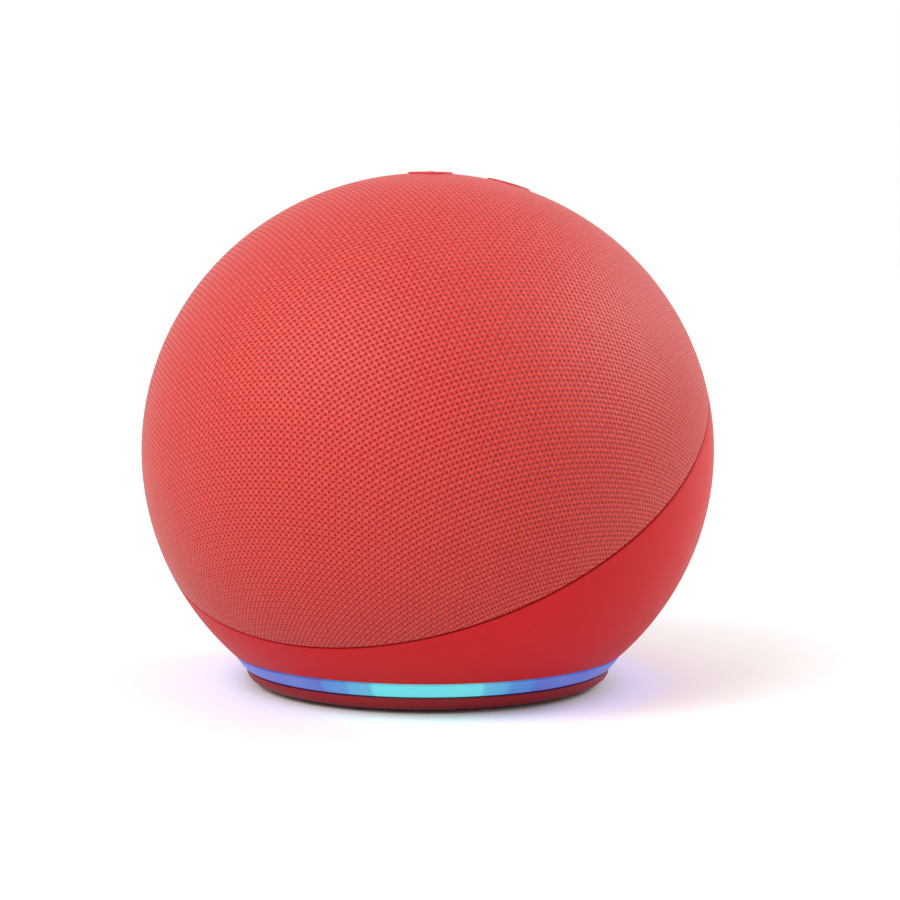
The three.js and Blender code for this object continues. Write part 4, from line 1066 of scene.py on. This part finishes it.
# %% Button signs
SIGN_HEIGHT = 0.12 * MM
SIGN_WIDTH = 0.75 * MM
SIGN_REACH = 2.1 * MM
SIGN_LINE = 0.4 * MM
SIGN_SINK = 0.08 * MM
DOT_RADIUS = 0.95 * MM
CAPSULE_LENGTH = 2.5 * MM
CAPSULE_WIDTH = 1.2 * MM
CAPSULE_Y = 0.9 * MM
ARCH_RADIUS = 1.45 * MM
ARCH_Y = 0.2 * MM
STEM_LENGTH = 1.0 * MM
STEM_Y = -1.8 * MM


def bar(bm, length, width, turn=0.0, y=0.0):
    """A low bar whose middle is at y, finely cut along its length so that it can bend."""
    made = bmesh.ops.create_grid(bm, x_segments=12, y_segments=2, size=0.5)
    turned_bar = Matrix.Rotation(turn, 4, "Z") @ Matrix.Diagonal((length, width, 1, 1))
    bmesh.ops.transform(bm, matrix=Matrix.Translation((0, y, 0)) @ turned_bar, verts=made["verts"])


def arch(bm, radius, width, start, end, y):
    """A low curved band: a bar's outline spun part of a turn."""
    verts = [bm.verts.new((radius + side * width / 2, 0, 0)) for side in (-1, 1)]
    edge = bm.edges.new(verts)
    place = Matrix.Translation((0, y, 0)) @ Matrix.Rotation(start, 4, "Z")
    bmesh.ops.transform(bm, matrix=place, verts=verts)
    bmesh.ops.spin(
        bm,
        geom=[*verts, edge],
        cent=(0, y, 0),
        axis=(0, 0, 1),
        angle=end - start,
        steps=16,
        use_merge=False,
    )


def sign(name):
    """One button's sign: a flat drawing, bent to the cap's surface and then raised."""
    bm = bmesh.new()
    if name == "action":
        bmesh.ops.create_circle(bm, cap_ends=True, cap_tris=True, segments=32, radius=DOT_RADIUS)
    elif name == "microphone_off":
        bar(bm, CAPSULE_LENGTH, CAPSULE_WIDTH, math.pi / 2, CAPSULE_Y)
        arch(bm, ARCH_RADIUS, SIGN_LINE, math.pi, math.tau, ARCH_Y)
        bar(bm, STEM_LENGTH, SIGN_LINE, math.pi / 2, STEM_Y)
        bar(bm, 2.6 * SIGN_REACH, SIGN_LINE, math.radians(-45))
    else:
        bar(bm, 2 * SIGN_REACH, SIGN_WIDTH)
        if name == "volume_up":
            bar(bm, 2 * SIGN_REACH, SIGN_WIDTH, math.pi / 2)
    place = button_place(name)
    follow_ball(place, bm.verts, BUTTON_PROUD)
    raised = bmesh.ops.extrude_face_region(bm, geom=bm.faces[:])
    upper = [v for v in raised["geom"] if isinstance(v, bmesh.types.BMVert)]
    bmesh.ops.translate(bm, vec=(0, 0, SIGN_HEIGHT), verts=upper)
    bmesh.ops.transform(bm, matrix=place @ Matrix.Translation((0, 0, -SIGN_SINK)), verts=bm.verts)
    piece("sign_" + name, bm, sign_plastic, name + "_button")


sign_plastic = plastic("pale_red_sign_ink", (0.75, 0.16, 0.14), 0.5, grain=0.2)
for name in BUTTON_ANGLES:
    sign(name)

# %% [markdown]
# ## The sockets
# Behind each recess stands a moulded block with a round nose. The nose has an eased rim and a bore
# for the plug. The block and its nose are joined and bored by the Boolean modifier.

# %% Sockets
BORES = {"power": 3.1 * MM, "audio": 1.8 * MM}
BORE_DEPTH = 11 * MM
SOCKET_STEPS = 64
BLOCK_SETBACK = 1.3 * MM
BLOCK_EASE = 0.4 * MM
NOSE_FIT = 0.3 * MM
NOSE_LENGTH = 2 * MM
NOSE_EASE = 0.5 * MM
MOUTH_FLARE = 0.5 * MM
for name, (x, recess) in RECESSES.items():
    place = along_y(x)
    node = name + "_socket"
    low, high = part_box(node)
    bm = bmesh.new()
    size = high - low
    block_back = high.y - BLOCK_SETBACK
    block = Matrix.Translation(((low.x + high.x) / 2, (low.y + block_back) / 2, (low.z + high.z) / 2))
    block = block @ Matrix.Diagonal((size.x, block_back - low.y, size.z, 1))
    bmesh.ops.create_cube(bm, size=1.0, matrix=block)
    bmesh.ops.bevel(
        bm,
        geom=bm.edges[:],
        offset=BLOCK_EASE,
        affect="EDGES",
        segments=3,
        profile=0.5,
        material=-1,
    )
    housing = piece("housing_" + name, bm, black_plastic)
    nose = recess - NOSE_FIT
    nose_outline = [(0, -NOSE_LENGTH), (nose, -NOSE_LENGTH)]
    nose_outline += eased((nose, -NOSE_LENGTH), (nose, 0), (0, 0), NOSE_EASE, 5)
    nose_outline += [(0, 0)]
    combine(housing, "UNION", turned(nose_outline, SOCKET_STEPS, place))
    bore = BORES[name]
    mouth = bore + MOUTH_FLARE
    bore_outline = [(0, -BORE_DEPTH), (bore, -BORE_DEPTH), (bore, -0.4 * MM), (mouth, 0.1 * MM)]
    bore_outline += [(mouth, 1 * MM), (0, 1 * MM)]
    combine(housing, "DIFFERENCE", turned(bore_outline, SOCKET_STEPS, place))
    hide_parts(node)

# %% [markdown]
# ## The sockets' contacts
# A plug touches metal, not plastic. The power socket has a round-tipped steel pin down its middle, and
# the sound socket has a thin plated sleeve just inside its mouth. Both are turned, as real ones are.

# %% Contacts
PIN_RADIUS = 1.0 * MM
PIN_TIP = -1.5 * MM
PIN_EASE = 0.6 * MM
SLEEVE_GAP = 0.02 * MM
SLEEVE_WALL = 0.3 * MM
SLEEVE_START = -6 * MM
SLEEVE_END = -0.6 * MM
SLEEVE_EASE = 0.1 * MM
pin_outline = [(0, -BORE_DEPTH), (PIN_RADIUS, -BORE_DEPTH)]
pin_outline += eased((PIN_RADIUS, -BORE_DEPTH), (PIN_RADIUS, PIN_TIP), (0, PIN_TIP), PIN_EASE, 5)
pin_outline += [(0, PIN_TIP)]
piece("power_pin", turned(pin_outline, 32, along_y(RECESSES["power"][0])), steel)
sleeve_outside = BORES["audio"] - SLEEVE_GAP
sleeve_inside = BORES["audio"] - SLEEVE_WALL
sleeve_corners = [
    (sleeve_outside, SLEEVE_START),
    (sleeve_inside, SLEEVE_START),
    (sleeve_inside, SLEEVE_END),
    (sleeve_outside, SLEEVE_END),
]
sleeve_outline = rounded(sleeve_corners, SLEEVE_EASE, 3)
piece("audio_sleeve", turned(sleeve_outline, 48, along_y(JACK_X)), steel)

# %% [markdown]
# ## The woofer's surround
# The cone moves, and its frame doesn't. A rubber half-roll joins them at the cone's edge. It is turned
# afresh here. The roll starts outside the cone's rim, because the rim rises past the roll's foot. The
# roll isn't blended: it rides on no body and stays with the frame, so the cone cuts through it at its
# limits. The fabric hides that.

# %% Surround
WOOFER_ELEVATION = math.radians(20)
woofer_frame = Matrix.Translation(CENTRE) @ Matrix.Rotation(math.pi / 2 - WOOFER_ELEVATION, 4, "X")


def reach_of(node):
    """A CAD part's least and greatest radius and height in the woofer's frame."""
    points = [woofer_frame.inverted() @ v.co for v in frame["nodes"][node].data.vertices]
    radii = [math.hypot(p.x, p.y) for p in points]
    heights = [p.z for p in points]
    return min(radii), max(radii), min(heights), max(heights)


def blend_along(made):
    """Bakes a piece's place into its mesh. It makes no blend."""
    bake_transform(made)


RIM_GAP = 0.2 * MM
SURROUND_STEPS = 96
ARC_POINTS = 16
ROLL_RADIUS = 2.0 * MM
RUBBER_WALL = 0.5 * MM
inner_edge, outer_edge, lip_low, roll_top = reach_of("woofer_surround")
_, cone_rim, _, _ = reach_of("woofer_cone")
roll_start = cone_rim + RIM_GAP + RUBBER_WALL
roll_middle = roll_start + ROLL_RADIUS
roll_base = roll_top - ROLL_RADIUS - RUBBER_WALL
flange_top = roll_base + RUBBER_WALL
lip_top = lip_low + RUBBER_WALL


def half_roll(radius):
    """A half circle over the gap between the cone's edge and the frame."""
    turns = [math.pi * (1 - k / ARC_POINTS) for k in range(ARC_POINTS + 1)]
    return [(roll_middle + radius * math.cos(t), roll_base + radius * math.sin(t)) for t in turns]


surround_outline = [(inner_edge, lip_low), (roll_start, lip_low)]
surround_outline += half_roll(ROLL_RADIUS)
surround_outline += [(outer_edge, roll_base), (outer_edge, flange_top)]
# The roll's top ends where it meets the flange's top, so that the rubber keeps its wall there.
roll_upper = half_roll(ROLL_RADIUS + RUBBER_WALL)[::-1]
surround_outline += [p for p in roll_upper if p[0] < roll_middle or p[1] > flange_top]
surround_outline += [(roll_start - RUBBER_WALL, lip_top), (inner_edge, lip_top)]
bm = turned(surround_outline, SURROUND_STEPS, woofer_frame)
roll = piece("half_roll_surround", bm, rubber, None)
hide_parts("woofer_surround")
blend_along(roll)

# %% [markdown]
# ## The woofer's spider
# A corrugated cloth disc holds the cone's neck in the middle of its frame. It is turned from a wavy
# outline that slopes up towards the neck. Like the surround's roll, it isn't blended: it rides on no
# body, so its neck stays still while the cone moves.

# %% Spider
SPIDER_STEPS = 72
SPIDER_POINTS = 40
SPIDER_WAVES = 4
SPIDER_WAVE_HEIGHT = 0.25 * MM
SPIDER_RISE = 1.9 * MM
SPIDER_CLOTH = 0.35 * MM
neck, foot_edge, spider_low, _ = reach_of("woofer_spider")
spider_face = []
for k in range(SPIDER_POINTS + 1):
    share = k / SPIDER_POINTS
    wave = SPIDER_WAVE_HEIGHT * (1 - math.cos(math.tau * SPIDER_WAVES * share))
    rise = SPIDER_RISE * (1 - share)
    spider_face.append((neck + (foot_edge - neck) * share, spider_low + rise + wave))
spider_outline = spider_face + [(r, z + SPIDER_CLOTH) for r, z in spider_face[::-1]]
bm = turned(spider_outline, SPIDER_STEPS, woofer_frame)
spider = piece("cloth_spider", bm, spider_cloth, None)
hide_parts("woofer_spider")
blend_along(spider)

# %% [markdown]
# ## The studio
# The floor is a wide pale disc under a plain white surround, which gives soft shade under the ball.

# %% Floor and surround
FLOOR_RADIUS = 12.0
floor_finish = Nodes("pale_floor")
floor_cloud = floor_finish.noise(floor_finish.coordinates.outputs["Object"], 3.0, 2.0)
pale_floor = floor_finish.set(
    base=floor_finish.mix(floor_cloud, colour(0.74, 0.74, 0.74), colour(0.76, 0.76, 0.76)),
    roughness=0.6,
    specular=0.2,
)
bm = bmesh.new()
bmesh.ops.create_circle(bm, cap_ends=True, segments=96, radius=FLOOR_RADIUS)
floor_mesh = bpy.data.meshes.new("floor")
bm.to_mesh(floor_mesh)
bm.free()
floor_mesh.materials.append(pale_floor)
floor = bpy.data.objects.new("floor", floor_mesh)
bpy.context.scene.collection.objects.link(floor)

world = bpy.data.worlds.new("studio")
world.use_nodes = True
surround = world.node_tree.nodes["Background"]
surround.inputs["Color"].default_value = colour(1.0, 1.0, 1.0)
surround.inputs["Strength"].default_value = 1.0
bpy.context.scene.world = world


def lamp(name, energy, tint, location, target, size):
    """A square area lamp that faces a point. It lights the scene and isn't seen itself."""
    data = bpy.data.lights.new(name, "AREA")
    data.energy = energy
    data.color = tint
    data.size = size
    made = bpy.data.objects.new(name, data)
    bpy.context.scene.collection.objects.link(made)
    made.location = location
    made.rotation_euler = (Vector(target) - Vector(location)).to_track_quat("-Z", "Y").to_euler()
    made.visible_camera = False


# %% [markdown]
# ## The lamps
# A soft sun from the upper left lights the whole floor evenly, so the floor stays one plain tone. An
# area lamp beside it draws the broad highlight on the fabric, and another behind on the right lifts
# that edge.

# %% Lamps
right_hand = Vector((math.cos(VIEW_AZIMUTH), math.sin(VIEW_AZIMUTH), 0))
upward = Vector((0, 0, 1))
key_way = -0.58 * right_hand + 0.66 * upward + 0.47 * towards_camera
sun = bpy.data.lights.new("key", "SUN")
sun.energy = 1.6
sun.angle = math.radians(42)
sun.color = (1.0, 0.98, 0.96)
key = bpy.data.objects.new("key", sun)
bpy.context.scene.collection.objects.link(key)
key.rotation_euler = key_way.to_track_quat("Z", "Y").to_euler()
lamp(
    "highlight",
    energy=2.4,
    tint=(1.0, 0.99, 0.96),
    location=CENTRE + 0.75 * key_way,
    target=CENTRE,
    size=0.28,
)
rim_place = CENTRE - 0.4 * towards_camera + 0.85 * right_hand + 0.6 * upward
lamp("right_fill", energy=7.0, tint=(1.0, 0.98, 0.96), location=rim_place, target=CENTRE, size=0.5)

# %% [markdown]
# ## The glow on the table
# The real ring throws its light on the table, in the colours of its zones. A ring of small lamps does
# the same here: they sit under the ball's overhang and face down, each with the colour of the zone
# above it.

# %% Glow lamps
GLOW_COUNT = 36
GLOW_ENERGY = 0.0004
GLOW_RADIUS = ring_inner + 12 * MM
GLOW_HEIGHT = 9 * MM
GLOW_SIZE = 6 * MM
GLOW_LEAN = 1.1


def zone_light(azimuth):
    """The ring's colour at an angle from straight ahead."""
    away = abs((azimuth - LISTENER_AZIMUTH + math.pi) % math.tau - math.pi)
    passed = [light for angle, light in ZONES if math.degrees(away) >= angle]
    return passed[-1]


for i in range(GLOW_COUNT):
    azimuth = math.tau * i / GLOW_COUNT
    spot = Vector((math.sin(azimuth), -math.cos(azimuth), 0)) * GLOW_RADIUS
    tint = zone_light(azimuth)
    place = spot + Vector((0, 0, GLOW_HEIGHT))
    lamp(f"glow_{i}", GLOW_ENERGY, tint, place, spot * GLOW_LEAN, GLOW_SIZE)
print(GLOW_COUNT, "glow lamps")
